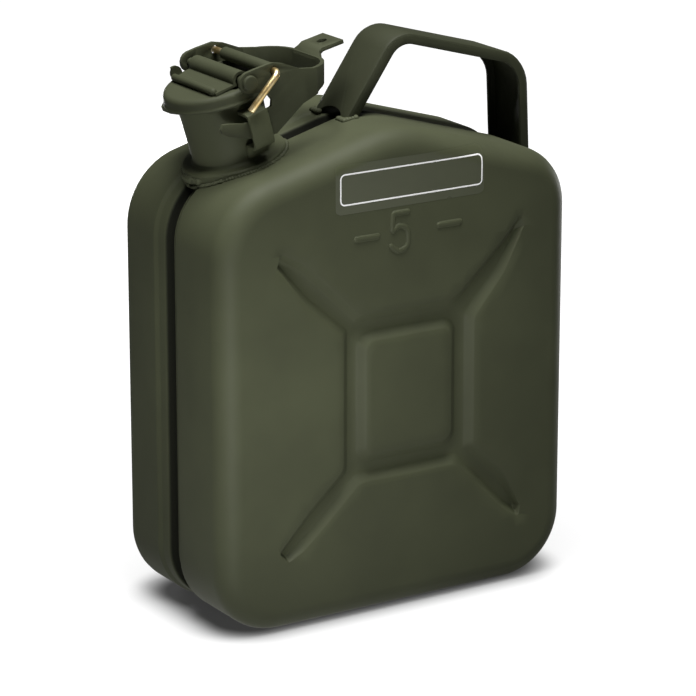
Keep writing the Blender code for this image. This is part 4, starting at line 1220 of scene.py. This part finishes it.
def pale_floor():
    finish = Finish("pale floor", roughness=0.9, specular=0.1)
    grain = finish.clouds(6.0, 2.0)
    finish.feed("Base Color", finish.blend(grain, (0.20, 0.20, 0.20), (0.22, 0.22, 0.22)))
    tree = finish.tree
    rays = finish.node("ShaderNodeLightPath").outputs
    seen = Flow(tree, rays["Is Camera Ray"])
    mirrored = Flow(tree, rays["Is Glossy Ray"])
    length = finish.node("ShaderNodeVectorMath", {"operation": "LENGTH"}, {0: finish.place})
    far = Flow(tree, length.outputs["Value"]).between(0.12, 0.55)
    across, deep = finish.axis("X"), finish.axis("Y")
    slant = across + deep * 0.625
    lit = (1.0 - slant.between(-0.16, 0.14) * 0.96) * (1.0 - deep.between(-0.08, 0.12) * 0.85)

    def past(axis, core):
        return axis.maths("MAXIMUM", abs(axis) - core, 0.0)

    # Painted shadow: close to the base the floor's brightness for camera rays fades to a soft dark
    # line.
    over, beyond = past(across, PAINTED_SHADOW_CORE[0]), past(deep, PAINTED_SHADOW_CORE[1])
    clear_of_painted_shadow = ((over * over + beyond * beyond) ** 0.5).between(*PAINTED_SHADOW_FADE)
    strength = seen * (0.80 + far * 0.20) * (0.04 + clear_of_painted_shadow * 0.96) + mirrored * lit * SHEEN
    glow = finish.node("ShaderNodeEmission", None, {"Strength": strength})
    shaders = {0: finish.shader.outputs[0], 1: glow.outputs[0]}
    both = finish.node("ShaderNodeAddShader", None, shaders)
    tree.links.new(both.outputs[0], tree.nodes["Material Output"].inputs["Surface"])
    return finish.material


sheet = bmesh.new()
bmesh.ops.create_grid(sheet, x_segments=8, y_segments=8, size=4.0)
floor = from_bmesh("floor", sheet)
floor.data.materials.append(pale_floor())
print("floor:", floor.dimensions.x, "m wide")

# %% The white backdrop
HAZE = 0.06
FILL = 0.02

world = bpy.data.worlds.new("studio")
world.use_nodes = True
bpy.context.scene.world = world
air = world.node_tree
background = air.nodes["Background"]
background.inputs["Color"].default_value = (1.0, 1.0, 1.0, 1.0)
rays = air.nodes.new("ShaderNodeLightPath").outputs
seen = Flow(air, rays["Is Camera Ray"])
through = Flow(air, rays["Is Transmission Ray"])
mirrored = Flow(air, rays["Is Glossy Ray"])
shown = seen.maths("MAXIMUM", seen, through) * (1.0 - FILL) + mirrored * HAZE + FILL
air.links.new(shown.socket, background.inputs["Strength"])
print("backdrop ready")

# %% Five soft lamps
# Name, place, aim, width and height in metres, power in watts and spread in degrees.
LAMPS = [
    ("key", (-0.26, -0.40, 0.03), (-0.065, -0.055, 0.13), 0.18, 0.10, 0.185, 54.0),
    ("side", (-0.80, -0.20, 0.16), (-0.11, 0.0, 0.14), 0.30, 0.4, 0.20, 180.0),
    ("top", (-0.14, -0.22, 1.5), (0.0, 0.0, 0.2), 0.9, 0.7, 36.0, 180.0),
    ("back", (0.30, 1.1, 0.08), (0.0, 0.0, 0.14), 0.4, 0.14, 6.0, 180.0),
    ("right", (1.1, 0.25, 0.08), (0.0, 0.0, 0.14), 0.4, 0.14, 4.0, 180.0),
]


def soft_lamp(name, place, aim, width, height, power, spread):
    data = bpy.data.lights.new(name, "AREA")
    data.shape = "RECTANGLE"
    data.size, data.size_y = width, height
    data.energy = power
    data.spread = math.radians(spread)
    lamp = link(name, data)
    look = Vector(aim) - Vector(place)
    lamp.location = place
    lamp.rotation_euler = look.to_track_quat("-Z", "Y").to_euler()


for lamp in LAMPS:
    soft_lamp(*lamp)
print("lamps:", [lamp[0] for lamp in LAMPS])

# %% Colour management
bpy.context.scene.view_settings.view_transform = "Standard"
